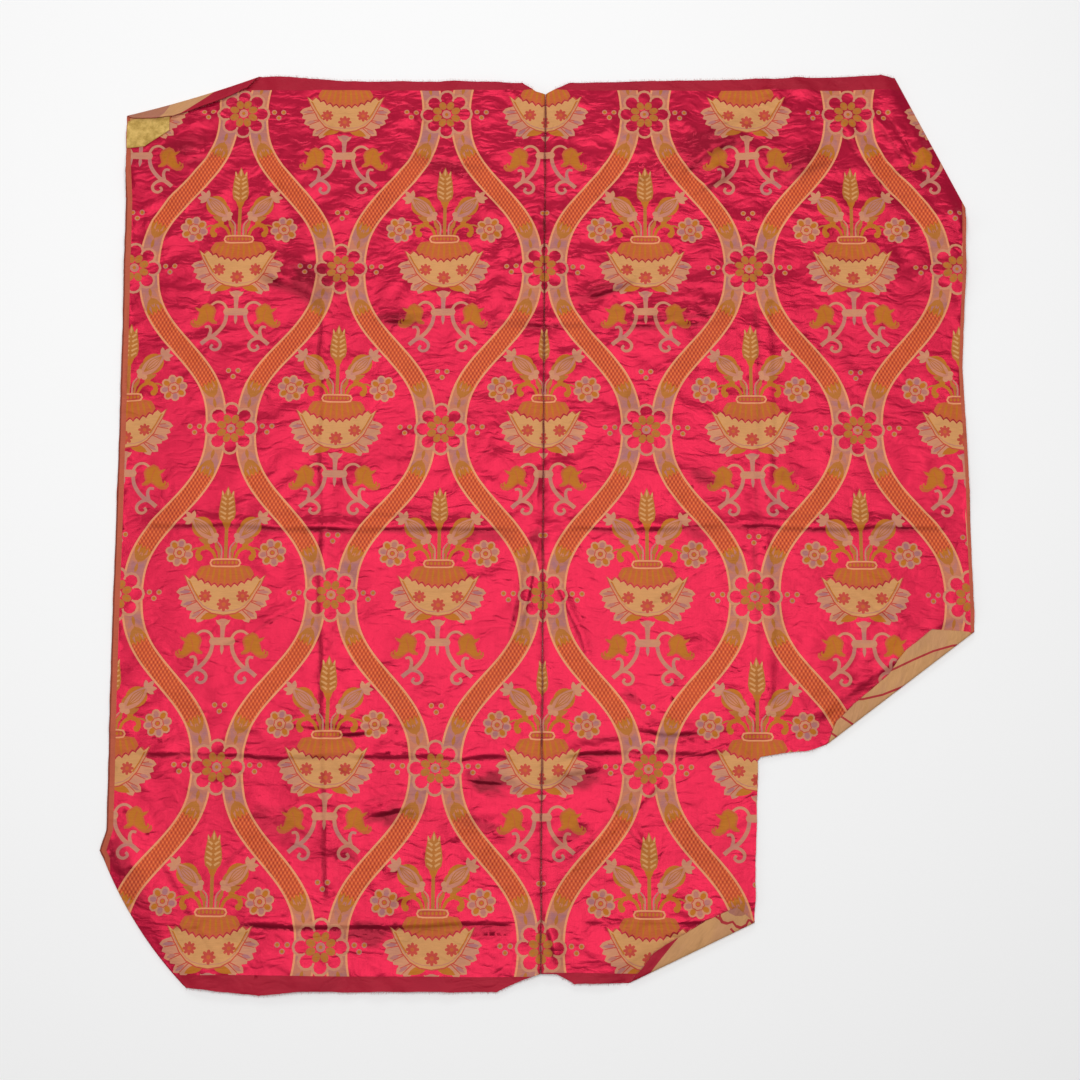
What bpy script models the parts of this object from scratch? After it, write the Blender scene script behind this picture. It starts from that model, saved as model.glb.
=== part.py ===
"""Brocade panel: two loom widths of figured silk sewn selvage to selvage, laid face up.

Metres, +Z up.  The panel lies on Z = 0 with its top edge towards +Y.  Each width is one
sheet: a flat cut is laid out in millimetres from the seam, its corners are turned over
along soft folds, its storage creases stand up as low ridges, and it is given its thickness.
"""
import math
from collections import namedtuple

import bpy
from mathutils import Vector
from mathutils.geometry import delaunay_2d_cdt

MM = 0.001
CLOTH = 1.2 * MM            # thickness of the brocade
PATCH = 1.0 * MM            # thickness of the plain corner patch
GAP = 0.3 * MM              # clear gap between pieces that touch
FRONT_BEND = 1.7 * MM       # centre-line radius of a corner turned to the front
UNDER_BEND = 1.1 * MM       # centre-line radius of a corner turned under
BEND_STEPS = 4              # facets round one turned edge
EDGE_LIFT = 1.5 * MM        # how far the raw edge of a front flap stands off
GRID = 34 * MM              # spacing of the sheet's own facets
CLEAR = 9 * MM              # least room between a grid point and an edge or a crease
RISE_MARGIN = 8 * MM        # the cloth stays up this far past a flap that lies under it
RISE_FADE = 34 * MM         # and comes down to the surface over this distance

Turn = namedtuple("Turn", "name start end way bulge edge")
Crease = namedtuple("Crease", "name start end height half_width")

# A turned corner.  start and end are the ends of its folded edge, with the cloth on the
# left of the way from one to the other; way is +1 to the front and -1 under; bulge is how
# far the folded edge bows outwards; edge lists (along, reach) of the turned part when flat.
TURNS = [
    Turn("top_left", (-384, 601), (-563, 543), 1, -3,
         [(22, 12), (78, 17), (128, 20), (181, 7)]),
    Turn("bottom_left", (-540, -439), (-431, -594), -1, 9,
         [(48, 34), (166, 34)]),
    Turn("bottom_right", (107, -585), (261, -512), 1, 0,
         [(42, 21), (62, 24), (92, 26), (117, 29), (158, 27)]),
    Turn("right", (354, -295), (544, -152), 1, 0,
         [(15, 10), (28, 17), (85, 22), (116, 24), (153, 35), (196, 36)]),
    Turn("top_right", (556, 414), (469, 599), -1, 0,
         [(70, 34), (188, 34)]),
]

# The rest of each outline, point by point in millimetres from the seam and mid height.
SEAM_BOTTOM = (0, -575)
SEAM_TOP = (0, 573)
TOP_LEFT_EDGE = [(-13, 577), (-31, 590), (-129, 593), (-268, 593), (-325, 598)]
LEFT_SELVAGE = [(-557, 424), (-550, 140), (-544, -190), (-538, -405), (-545, -430)]
BOTTOM_LEFT_EDGE = [(-380, -599), (-342, -603), (-290, -598), (-53, -597), (-21, -582)]
BOTTOM_RIGHT_EDGE = [(19, -575), (41, -587)]
CUT_EDGE = [(268, -316), (272, -311), (310, -305), (331, -303)]
RIGHT_SELVAGE = [(545, 44), (543, 194), (553, 332)]
TOP_RIGHT_EDGE = [(450, 602), (275, 596), (33, 591), (12, 580)]

# The creases that the panel was stored in, and the main wrinkles at its corners.
CREASES = [
    Crease("left_quarter", (-293, 341), (-259, -500), 2.6, 13),
    Crease("right_quarter", (291, 356), (279, -262), 2.0, 13),
    Crease("upper_cross", (-226, 258), (256, 259), 2.2, 12),
    Crease("middle_cross_left", (-520, -27), (-24, -22), 2.6, 13),
    Crease("middle_cross_right", (24, -22), (524, -24), 2.4, 13),
    Crease("lower_cross_left", (-515, -292), (-24, -296), 2.0, 12),
    Crease("lower_cross_right", (24, -296), (236, -292), 2.0, 12),
    Crease("foot_cross", (-330, -530), (-50, -523), 2.0, 11),
    Crease("top_right_pull", (392, 545), (470, 430), 2.4, 12),
    Crease("top_left_pull", (-500, 480), (-402, 505), 2.2, 12),
    Crease("shade_fold", (-384, 400), (-330, 318), 2.4, 12),
    Crease("seam_pull_left", (-190, 500), (-60, 470), 2.0, 11),
    Crease("seam_pull_right", (60, 440), (200, 492), 2.0, 11),
]

PATCH_CORNERS = [(-560, 496), (-536, 498), (-504, 521), (-505, 545), (-545, 541), (-561, 535)]


def to_metres(point):
    return Vector((point[0] * MM, point[1] * MM))


def smooth(value):
    value = min(max(value, 0.0), 1.0)
    return value * value * (3 - 2 * value)


class Fold:
    """One turned corner, with its own along and outward directions."""

    def __init__(self, turn):
        self.name = turn.name
        self.way = turn.way
        self.start = to_metres(turn.start)
        self.end = to_metres(turn.end)
        self.length = (self.end - self.start).length
        self.along = (self.end - self.start).normalized()
        self.out = Vector((self.along.y, -self.along.x))
        self.bow = turn.bulge * MM
        self.radius = FRONT_BEND if turn.way > 0 else UNDER_BEND
        self.edge = [(s * MM, reach * MM) for s, reach in turn.edge]
        self.reach = max(reach for _, reach in self.edge)

    def bulge(self, s):
        part = min(max(s / self.length, 0.0), 1.0)
        return self.bow * 4 * part * (1 - part)

    def place(self, s, w):
        return self.start + self.along * s + self.out * w

    def cut(self):
        """The folded edge's start, the raw edge of the turned part, and the end."""
        raw = [self.place(s, self.bulge(s) + reach) for s, reach in self.edge]
        return [self.start.copy(), *raw, self.end.copy()]

    def lines(self):
        """Facet lines along the fold, and the foot of the raised cloth beside it."""
        half_turn = math.pi * self.radius
        offsets = [half_turn * k / BEND_STEPS - self.radius for k in range(BEND_STEPS + 1)]
        if self.way < 0:
            offsets += [-self.reach - RISE_MARGIN, -self.reach - RISE_MARGIN - RISE_FADE]
        pieces = 7
        margin = 0.25 * self.length
        steps = [-margin + (self.length + 2 * margin) * k / pieces for k in range(pieces + 1)]
        return [[self.place(s, self.bulge(s) + w) for s in steps] for w in offsets]

    def rise(self, point):
        """How far a flap lying under the cloth holds it off the surface."""
        if self.way > 0:
            return 0.0
        s = (point - self.start).dot(self.along)
        inward = self.bulge(s) - (point - self.start).dot(self.out)
        beyond = max(-s, s - self.length, 0.0)
        level = smooth(1 - (inward - self.reach - RISE_MARGIN) / RISE_FADE)
        return 2 * self.radius * level * smooth(1 - beyond / RISE_FADE)

    def turned(self, point, height):
        """The folded place of a flat point, or None where the fold doesn't reach it."""
        s = (point - self.start).dot(self.along)
        bulge = self.bulge(s)
        past = (point - self.start).dot(self.out) - bulge + self.radius
        if past <= 0 or s < -self.reach or s > self.length + self.reach:
            return None
        r = self.radius
        if past < math.pi * r:
            w = bulge - r + r * math.sin(past / r)
            z = height + self.way * r * (1 - math.cos(past / r))
        else:
            flat_part = past - math.pi * r
            w = bulge - r - flat_part
            z = height + self.way * 2 * r
            if self.way > 0:
                z += EDGE_LIFT * smooth(flat_part / self.reach)
        flat = self.place(s, w)
        return Vector((flat.x, flat.y, z))


FOLDS = {turn.name: Fold(turn) for turn in TURNS}


def crease_height(point):
    """Height of the tallest ridge at a flat point."""
    tallest = 0.0
    for crease in CREASES:
        start, end = to_metres(crease.start), to_metres(crease.end)
        along = (end - start).normalized()
        s = (point - start).dot(along)
        across = abs((point - start).dot(Vector((along.y, -along.x))))
        length = (end - start).length
        half = crease.half_width * MM
        ends = smooth(min(s, length - s) / (3 * half))
        if across < half and ends > 0:
            profile = 0.5 * (1 + math.cos(math.pi * across / half))
            tallest = max(tallest, crease.height * MM * profile * ends)
    return tallest


def crease_lines(inside):
    """Crest and feet of every crease whose middle lies in the given outline."""
    lines = []
    for crease in CREASES:
        start, end = to_metres(crease.start), to_metres(crease.end)
        if not inside((start + end) / 2):
            continue
        along = (end - start).normalized()
        side = Vector((along.y, -along.x)) * crease.half_width * MM
        for part in (-1, 0, 1):
            lines.append([start + side * part, end + side * part])
    return lines


def middle(point):
    """Where a flat point of the cloth lies, at the middle of its thickness."""
    height = CLOTH / 2 + crease_height(point)
    height += max(fold.rise(point) for fold in FOLDS.values())
    for fold in FOLDS.values():
        place = fold.turned(point, height)
        if place is not None:
            return place
    return Vector((point.x, point.y, height))


def normal(point):
    step = 0.05 * MM
    across = middle(point + Vector((step, 0))) - middle(point - Vector((step, 0)))
    down = middle(point + Vector((0, step))) - middle(point - Vector((0, step)))
    return across.cross(down).normalized()


def spaced(points, spacing, closed):
    """The same line with points no further apart than the spacing."""
    result = []
    pairs = zip(points, points[1:] + points[:1]) if closed else zip(points, points[1:])
    for a, b in pairs:
        count = max(1, math.ceil((b - a).length / spacing))
        result += [a.lerp(b, k / count) for k in range(count)]
    return result if closed else result + [points[-1]]


def inside_test(outline):
    """A function that says whether a point lies inside the outline."""
    pairs = list(zip(outline, outline[1:] + outline[:1]))

    def inside(point):
        crossings = 0
        for a, b in pairs:
            if (a.y > point.y) != (b.y > point.y):
                x = a.x + (point.y - a.y) / (b.y - a.y) * (b.x - a.x)
                crossings += x > point.x
        return crossings % 2 == 1

    return inside


def clipped(line, inside):
    """The runs of a spaced line that lie inside the outline."""
    runs, run = [], []
    for point in line:
        if inside(point):
            run.append(point)
            continue
        runs.append(run)
        run = []
    runs.append(run)
    return [run for run in runs if len(run) > 1]


def near_segments(segments, room):
    """A function that says whether a point is closer than room to any segment."""
    def near(point):
        for a, b in segments:
            run = b - a
            part = min(max((point - a).dot(run) / run.length_squared, 0.0), 1.0)
            if (a + run * part - point).length < room:
                return True
        return False

    return near


def flat_facets(outline):
    """The flat cut as triangles that follow its folds and creases."""
    edge = spaced(outline, GRID, True)
    inside = inside_test(outline)
    lines = [line for fold in FOLDS.values() for line in fold.lines()]
    lines = [run for line in lines for run in clipped(spaced(line, 2 * MM, False), inside)]
    lines = [thinned(run, GRID) for run in lines]
    lines += [spaced(line, GRID, False) for line in crease_lines(inside)]
    segments = list(zip(edge, edge[1:] + edge[:1]))
    segments += [pair for line in lines for pair in zip(line, line[1:])]
    near = near_segments(segments, CLEAR)
    low = Vector((min(p.x for p in edge), min(p.y for p in edge)))
    high = Vector((max(p.x for p in edge), max(p.y for p in edge)))
    points, edges = list(edge), []
    for line in lines:
        first = len(points)
        points += line
        edges += [(first + k, first + k + 1) for k in range(len(line) - 1)]
    columns = int((high.x - low.x) / GRID)
    rows = int((high.y - low.y) / GRID)
    for i in range(1, columns + 1):
        for j in range(1, rows + 1):
            shift = 0.5 * (j % 2)
            point = Vector((low.x + (i - shift) * GRID, low.y + j * GRID))
            if inside(point) and not near(point):
                points.append(point)
    face = [list(range(len(edge)))]
    verts, _, faces, *_ = delaunay_2d_cdt(points, edges, face, 1, 1e-6)
    return verts, [list(f) for f in faces if inside(sum((verts[v] for v in f), Vector((0, 0))) / 3)]


def thinned(run, spacing):
    """A finely spaced run with points about the given spacing apart."""
    total = sum((b - a).length for a, b in zip(run, run[1:]))
    count = max(1, round(total / spacing))
    keep = [run[round(k * (len(run) - 1) / count)] for k in range(count + 1)]
    return keep


def thick_sheet(name, outline):
    """The folded sheet as one closed body."""
    flat, faces = flat_facets(outline)
    used = sorted({v for face in faces for v in face})
    index = {v: k for k, v in enumerate(used)}
    count = len(used)
    top, bottom = [], []
    for v in used:
        point, half = middle(flat[v]), normal(flat[v]) * CLOTH / 2
        top.append(point + half)
        bottom.append(point - half)
    verts = [Vector((p.x, p.y, max(p.z, 0.0))) for p in top + bottom]
    solid = []
    edges = {}
    for face in faces:
        a, b, c = (index[v] for v in face)
        solid.append((a, b, c))
        solid.append((c + count, b + count, a + count))
        for pair in ((a, b), (b, c), (c, a)):
            edges[pair] = True
    for a, b in edges:
        if (b, a) not in edges:
            solid.append((b, a, a + count))
            solid.append((b, a + count, b + count))
    return name, verts, solid


def flat_piece(name, corners, low, thickness):
    """A flat piece of cloth with straight sides."""
    count = len(corners)
    flat = [to_metres(corner) for corner in corners]
    _, _, faces, *_ = delaunay_2d_cdt(flat, [], [list(range(count))], 1, 1e-6)
    verts = [Vector((p.x, p.y, z)) for z in (low + thickness, low) for p in flat]
    solid = [tuple(face) for face in faces]
    solid += [tuple(v + count for v in reversed(face)) for face in faces]
    for a in range(count):
        b = (a + 1) % count
        solid += [(b, a, a + count), (b, a + count, b + count)]
    return name, verts, solid


def middle_of(verts):
    """The middle of a set of points seen from above."""
    xs = [point.x for point in verts]
    ys = [point.y for point in verts]
    return Vector(((min(xs) + max(xs)) / 2, (min(ys) + max(ys)) / 2, 0.0))


def make_object(sheet, centre, colour, roughness):
    name, verts, faces = sheet
    mesh = bpy.data.meshes.new(name)
    mesh.from_pydata([point - centre for point in verts], [], faces)
    mesh.update()
    item = bpy.data.objects.new(name, mesh)
    bpy.context.scene.collection.objects.link(item)
    material = bpy.data.materials.new(name)
    material.use_nodes = True
    shader = material.node_tree.nodes["Principled BSDF"]
    shader.inputs["Base Color"].default_value = (*colour, 1.0)
    shader.inputs["Roughness"].default_value = roughness
    shader.inputs["Metallic"].default_value = 0.0
    item.data.materials.append(material)


def outline_of(*parts):
    """Joins points and turned corners into one outline, the cloth on its left."""
    points = []
    for part in parts:
        if isinstance(part, Fold):
            points += part.cut()
        else:
            points += [to_metres(point) for point in part]
    return points


def left_outline():
    seam = Vector((-GAP / 2, 0))
    points = outline_of(
        [SEAM_TOP], TOP_LEFT_EDGE, FOLDS["top_left"], LEFT_SELVAGE,
        FOLDS["bottom_left"], BOTTOM_LEFT_EDGE, [SEAM_BOTTOM])
    points[0] += seam
    points[-1] += seam
    return points


def right_outline():
    seam = Vector((GAP / 2, 0))
    points = outline_of(
        [SEAM_BOTTOM], BOTTOM_RIGHT_EDGE, FOLDS["bottom_right"], CUT_EDGE,
        FOLDS["right"], RIGHT_SELVAGE, FOLDS["top_right"], TOP_RIGHT_EDGE, [SEAM_TOP])
    points[0] += seam
    points[-1] += seam
    return points


CRIMSON = (0.78, 0.035, 0.10)
STRAW = (0.66, 0.46, 0.14)


def build():
    for item in list(bpy.data.objects):
        bpy.data.objects.remove(item)
    left = thick_sheet("left_width", left_outline())
    right = thick_sheet("right_width", right_outline())
    patch = flat_piece("corner_patch", PATCH_CORNERS, CLOTH + GAP, PATCH)
    centre = middle_of(left[1] + right[1])
    make_object(left, centre, CRIMSON, 0.42)
    make_object(right, centre, CRIMSON, 0.42)
    make_object(patch, centre, STRAW, 0.85)


build()
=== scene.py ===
import math

import bpy
import numpy as np
from mathutils import Matrix, Vector
from mathutils.geometry import delaunay_2d_cdt


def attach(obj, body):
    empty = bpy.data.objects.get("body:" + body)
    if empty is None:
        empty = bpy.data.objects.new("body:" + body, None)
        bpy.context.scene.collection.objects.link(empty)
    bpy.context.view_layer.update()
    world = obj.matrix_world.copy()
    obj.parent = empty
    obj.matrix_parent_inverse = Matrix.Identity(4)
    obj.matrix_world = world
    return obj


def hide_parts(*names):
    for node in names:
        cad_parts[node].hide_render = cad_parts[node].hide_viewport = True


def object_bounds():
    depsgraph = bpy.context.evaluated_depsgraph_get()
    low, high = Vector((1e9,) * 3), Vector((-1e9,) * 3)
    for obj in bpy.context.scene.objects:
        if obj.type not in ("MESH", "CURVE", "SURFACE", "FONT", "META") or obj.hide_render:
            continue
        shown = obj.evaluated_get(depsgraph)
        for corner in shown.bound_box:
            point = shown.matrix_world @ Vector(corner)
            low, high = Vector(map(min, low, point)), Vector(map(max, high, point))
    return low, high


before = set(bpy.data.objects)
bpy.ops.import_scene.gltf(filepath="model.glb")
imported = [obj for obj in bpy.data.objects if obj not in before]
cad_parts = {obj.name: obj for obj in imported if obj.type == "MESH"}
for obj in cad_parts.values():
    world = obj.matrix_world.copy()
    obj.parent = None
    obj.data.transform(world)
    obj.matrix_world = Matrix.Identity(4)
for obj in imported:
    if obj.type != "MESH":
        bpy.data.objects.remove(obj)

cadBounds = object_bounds()
scene = bpy.context.scene
collection = scene.collection
mm = 0.001

# the panel, in millimetres from the seam and mid height
panel = {
    "thickness": 0.9,          # of the silk
    "facet": 7.0,              # spacing of the cloth's own mesh
    "backFacet": 9.5,          # the same on the reverse
    "edgeStep": 3.6,           # spacing of points round the outline
    "topBandFrom": 580.0,      # plain woven end at the top starts here
    "footBandFrom": -579.0,    # and at the foot here
    "leftSelvage": 8.5,        # width of the orange-brown selvage
    "rightSelvage": 4.5,
    "selvageRim": 2.2,         # its darker outer threads
    "seamGap": 0.3,
    "frontBend": 1.7,          # centre-line radius of a corner turned to the front
    "underBend": 1.1,          # the same for one turned under
    "edgeLift": 2.2,           # of a turned corner's raw edge
    "flapBuckle": 0.9,
    "riseMargin": 8.0,         # how far the cloth stays up past a flap lying under it
    "riseFade": 34.0,
}

figure = {
    "across": 136.0,           # half a repeat across
    "down": 218.0,             # half a repeat down
    "takeUp": 3.5,             # figure lost in the seam, each side
    "ribbonNear": 19.0,        # ribbon's middle from the rosette's axis
    "ribbonWide": 27.0,
    "ribbonEdge": 2.6,
    "ribbonSharp": 0.27,       # how much straighter than a wave it runs between rosettes
    "coralFrom": 61.0,         # plain coral stretch starts this far from a rosette
    "sprigFrom": 30.0,         # first pair of small leaves on the ribbon
    "sprigStep": 13.0,
}


def tableOf(columns, rows):
    return {name: dict(zip(columns, row)) for name, row in rows.items()}


# start and end of the folded edge with the cloth on its left, to the front +1 or under -1,
# how far the fold bows out, and (along, reach) of the turned part when flat
turns = tableOf(("start", "end", "way", "bow", "edge"), {
    "topLeft": ((-384, 601), (-563, 543), 1, -3,
                [(22, 12), (50, 15), (78, 17), (105, 19), (128, 20), (155, 15), (181, 7)]),
    "bottomLeft": ((-540, -439), (-431, -594), -1, 9, [(48, 34), (166, 34)]),
    "bottomRight": ((107, -585), (261, -512), 1, 0, [(42, 21), (62, 24), (92, 26), (117, 29), (158, 27)]),
    "right": ((354, -295), (544, -152), 1, 0,
              [(15, 10), (28, 17), (58, 21), (85, 22), (116, 24), (136, 31), (153, 35), (196, 36)]),
    "topRight": ((556, 414), (469, 599), -1, 0, [(70, 34), (188, 34)]),
})

# the rest of each outline, corner by corner
outline = {
    "seamFoot": (0, -575),
    "seamTop": (0, 573),
    "topLeftEdge": [(-13, 577), (-31, 590), (-129, 593), (-268, 593), (-325, 598)],
    "leftSelvage": [(-557, 424), (-550, 140), (-544, -190), (-538, -405), (-545, -430)],
    "footLeftEdge": [(-380, -599), (-342, -603), (-290, -598), (-53, -597), (-21, -582)],
    "footRightEdge": [(19, -575), (41, -587)],
    "cutEdge": [(268, -316), (272, -311), (310, -305), (331, -303)],
    "rightSelvage": [(545, 44), (543, 194), (553, 332)],
    "topRightEdge": [(450, 602), (275, 596), (33, 591), (12, 580)],
}

# yarns as they look in daylight, and how far each is figured, honeycombed and mottled
yarns = tableOf(("colour", "figured", "combed", "mottled"), {
    "satin": ((236, 24, 74), 0.0, 0, 0),
    "band": ((186, 4, 46), 0.8, 0, 0),
    "selvage": ((205, 96, 66), 1.0, 0, 0),
    "selvageEdge": ((150, 62, 40), 1.0, 0, 0),
    "gold": ((208, 120, 14), 1.0, 0, 0),
    "olive": ((200, 120, 42), 1.0, 0, 0),
    "orange": ((214, 102, 44), 1.0, 0, 0),
    "cream": ((230, 164, 100), 1.0, 0, 0),
    "pale": ((226, 152, 112), 1.0, 0, 0.3),
    "tan": ((220, 140, 112), 1.0, 0, 0.6),
    "mauve": ((206, 128, 112), 1.0, 0, 0.9),
    "crimson": ((200, 32, 56), 0.3, 0, 0),
    "ribbon": ((218, 132, 98), 1.0, 0, 0.8),
    "salmon": ((248, 164, 112), 1.0, 0, 0),
    "rust": ((214, 76, 58), 0.8, 0, 0),
    "coral": ((224, 90, 44), 1.0, 1, 0),
    "reverse": ((220, 162, 106), 1.0, 0, 0.15),
    "reverseRed": ((190, 44, 52), 1.0, 0, 0),
    "reverseMauve": ((190, 122, 92), 1.0, 0, 0.4),
})
yarnNames = list(yarns)
dyeDepth = 0.84       # the studio light is a little stronger than daylight
satinDepth = 0.63     # and the satin shines on top of its own colour


def smoothStep(value):
    value = np.clip(value, 0.0, 1.0)
    return value * value * (3 - 2 * value)


def linear(value):
    value = value / 255
    return value / 12.92 if value <= 0.04045 else ((value + 0.055) / 1.055) ** 2.4


def colourOf(rgb):
    return tuple(linear(part) for part in rgb) + (1.0,)


# drawing shapes, all in millimetres
def ring(x, y, rx, ry=None, turn=0.0, count=12):
    ry = ry or rx
    angle = np.linspace(0, 2 * math.pi, count, endpoint=False)
    px, py = rx * np.cos(angle), ry * np.sin(angle)
    c, s = math.cos(turn), math.sin(turn)
    return np.column_stack([x + c * px - s * py, y + s * px + c * py])


def lobed(x, y, radius, lobes, depth, turn, sharp, per):
    angle = np.linspace(0, 2 * math.pi, lobes * per, endpoint=False)
    wave = np.abs(np.cos(lobes * angle / 2)) ** sharp
    r = radius * (1 - depth + depth * wave)
    return np.column_stack([x + r * np.cos(angle + turn), y + r * np.sin(angle + turn)])


def smoothLine(points, per):
    # a smooth curve through the points, with per places for each stretch
    points = np.asarray(points, float)
    padded = np.vstack([2 * points[0] - points[1], points, 2 * points[-1] - points[-2]])
    result = []
    for a, b, c, d in zip(padded, padded[1:], padded[2:], padded[3:]):
        for k in range(per):
            t = k / per
            result.append(0.5 * (2 * b + (c - a) * t + (2 * a - 5 * b + 4 * c - d) * t * t
                                 + (3 * b - a - 3 * c + d) * t ** 3))
    return np.array([*result, points[-1]])


def sidewaysOf(line):
    run = np.gradient(line, axis=0)
    run /= np.linalg.norm(run, axis=1)[:, None] + 1e-9
    return np.column_stack([-run[:, 1], run[:, 0]])


def stem(points, startWidth, endWidth=None, per=3):
    endWidth = startWidth if endWidth is None else endWidth
    line = smoothLine(points, per)
    half = np.linspace(startWidth, endWidth, len(line))[:, None] / 2
    side = sidewaysOf(line) * half
    return np.vstack([line + side, (line - side)[::-1]])


def leaf(base, tip, width, bend=0.0, count=6, blunt=0.8):
    base, tip = np.array(base, float), np.array(tip, float)
    run = tip - base
    side = np.array([-run[1], run[0]]) / np.hypot(*run)
    t = np.linspace(0, 1, count)
    line = base + run * t[:, None] + side * (bend * 4 * t * (1 - t))[:, None]
    half = width / 2 * np.sin(math.pi * t ** 0.85) ** blunt
    across = sidewaysOf(line) * half[:, None]
    return np.vstack([line + across, (line - across)[::-1][1:-1]])


def mirrored(half, middle=()):
    # one half of a shape, its middle points and the same half on the other side
    return list(half) + list(middle) + [(-x, y) for x, y in half[::-1]]


class Drawing:
    def __init__(self):
        self.shapes = []

    def add(self, points, yarn):
        self.shapes.append((np.asarray(points, float), yarn))

    def pair(self, points, yarn):
        # the same shape on each side of the middle
        self.add(points, yarn)
        self.add(np.asarray(points, float)[::-1] * (-1, 1), yarn)

    def placed(self, x, y):
        return [(points + (x, y), yarn) for points, yarn in self.shapes]


def round8(x, y, far, turn=0.0):
    # eight places round a middle, with their angles
    angles = [turn + k * math.pi / 4 for k in range(8)]
    return [(x + far * math.cos(angle), y + far * math.sin(angle), angle) for angle in angles]


def makeRosette():
    art = Drawing()
    for radius, count, yarn in ((11.4, 12, "pale"), (8.2, 10, "satin")):
        for x, y, _ in round8(0, 0, 24):
            art.add(ring(x, y, radius, count=count), yarn)
    art.add(ring(0, 0, 20.6, count=24), "satin")
    for k in range(8):
        angle = (k + 0.5) * math.pi / 4
        for far, rx, ry, count, yarn in ((13.2, 6.3, 4.9, 9, "olive"), (13.8, 2.6, 1.5, 6, "gold")):
            art.add(ring(far * math.cos(angle), far * math.sin(angle), rx, ry, angle, count), yarn)
    for radius, count, yarn in ((7.2, 14, "satin"), (6.0, 12, "tan"), (2.4, 8, "gold")):
        art.add(ring(0, 0, radius, count=count), yarn)
    return art


def makeTrefoil():
    art = Drawing()
    for x, y in ((-6.2, 2.7), (6.2, 2.7), (0, -5.3)):
        art.add(ring(x, y, 3.5, count=10), "tan")
        art.add(ring(x, y, 2.3, count=8), "gold")
    return art


def drawStems(art):
    # stems, twigs and curled leaves behind the neck
    art.add(stem([(0, 44), (0, 96)], 4.4), "olive")
    art.pair(stem([(5.5, 44), (5.5, 60), (11, 68)], 2.6, 1.6), "tan")
    art.pair(leaf((5.8, 54), (13.5, 68), 5.5, -1.5), "olive")
    art.pair(stem([(8, 44), (10, 58), (17, 75)], 2.8), "olive")
    art.pair(stem([(27, 58), (38, 60), (47, 55)], 2.4, 1.8), "olive")
    art.pair(stem([(12, 45), (17, 56), (27, 61), (35, 56), (35.5, 48)], 3.4, 6.6), "gold")
    art.pair(ring(33.5, 47.5, 4.2, count=10), "gold")
    art.pair(leaf((23, 58), (31, 73), 7.5, 2), "gold")


def drawMiddleFlower(art):
    tulip = [(-5, 93), (-9.6, 98), (-11, 106), (-9.8, 118), (-8.2, 127), (-7.4, 136), (-4.2, 130)]
    art.add(mirrored(tulip, [(0, 141)]), "olive")
    for y, reach in ((99, 8.2), (105.5, 9.2), (112, 8.8), (118.5, 7.8), (124.5, 6.8)):
        art.pair(stem([(1.7, y - 1.5), (reach * 0.6, y + 0.8), (reach, y + 2.6)], 2.9, 1.9, 3), "cream")
    art.pair(leaf((-6, 128), (-7.4, 135), 2.4), "cream")
    art.add(leaf((0, 128), (0, 138.5), 3.0), "cream")
    art.add([(-6.5, 96), (-3, 93), (3, 93), (6.5, 96), (4, 89), (1.5, 84), (-1.5, 84), (-4, 89)], "gold")


def drawBuds(art):
    # side buds, a striped petal across a golden disc
    art.pair(leaf((17, 70), (20, 90), 7.0, 2.5), "olive")
    art.pair(leaf((17, 70), (36, 73), 7.0, -2.5), "olive")
    art.pair(ring(31, 87, 14.2, 13.2, math.radians(40), 18), "gold")
    art.pair(leaf((13.5, 70), (47, 101), 19.5, 0, count=9), "olive")
    art.pair(leaf((15, 71.5), (46, 100), 17, 0, count=9), "tan")
    for bend in (-5.2, -1.8, 1.8, 5.2):
        rail = [(19.5, 76), (31 - 0.70 * bend, 87 + 0.70 * bend), (42, 97)]
        art.pair(stem(rail, 1.3, 0.9), "olive")
    for x, y in ((13.5, 76), (14.5, 70.5), (20, 69)):
        art.pair(ring(x, y, 3.9, count=9), "pale")
    for tip in ((42, 109), (53, 108), (57, 98), (53, 91)):
        art.pair(leaf((44, 97), tip, 6.6), "pale")


def drawDaisies(art):
    x, y = 59.5, 54
    art.pair(lobed(x, y, 18.2, 8, 0.20, 0.2, 0.8, 4), "pale")
    for k, (px, py, angle) in enumerate(round8(x, y, 11.6, 0.2)):
        art.pair(ring(px, py, 4.4, 3.5, angle, 8), "gold" if k % 2 else "mauve")
    art.pair(lobed(x, y, 8.6, 8, 0.26, 0.6, 0.8, 3), "rust")
    art.pair(lobed(x, y, 7.4, 8, 0.30, 0.6, 0.8, 3), "pale")
    art.pair(ring(x, y, 3.4, count=10), "rust")
    art.pair(ring(x, y, 2.2, count=8), "gold")


def drawAcanthus(art):
    # fans beside the bowl, each of rounded lobes with a dark line between them
    for base, tips in (((31, 4), ((49, 10), (61, 3), (58, -6))),
                       ((30, -7), ((46, -7), (55, -14), (47, -20))),
                       ((20, -16), ((41, -21), (43, -31), (33, -36)))):
        base, tips = np.array(base), np.array(tips)
        for k in (0, 2, 1):
            art.pair(leaf(base, tips[k], 13.5, 0.8, count=8, blunt=0.5), "pale")
        for k in (0, 1):
            split = tips[k] * 0.42 + tips[k + 1] * 0.42 + base * 0.16
            art.pair(stem([base, (split + base) / 2, split], 1.6, 1.0), "rust")
        art.pair(leaf(base * 0.6 + tips[1] * 0.4, tips[1] * 0.94, 4.6), "mauve")
    art.pair(leaf((6, -25), (29, -32), 9.5, 1.5), "gold")


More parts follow.
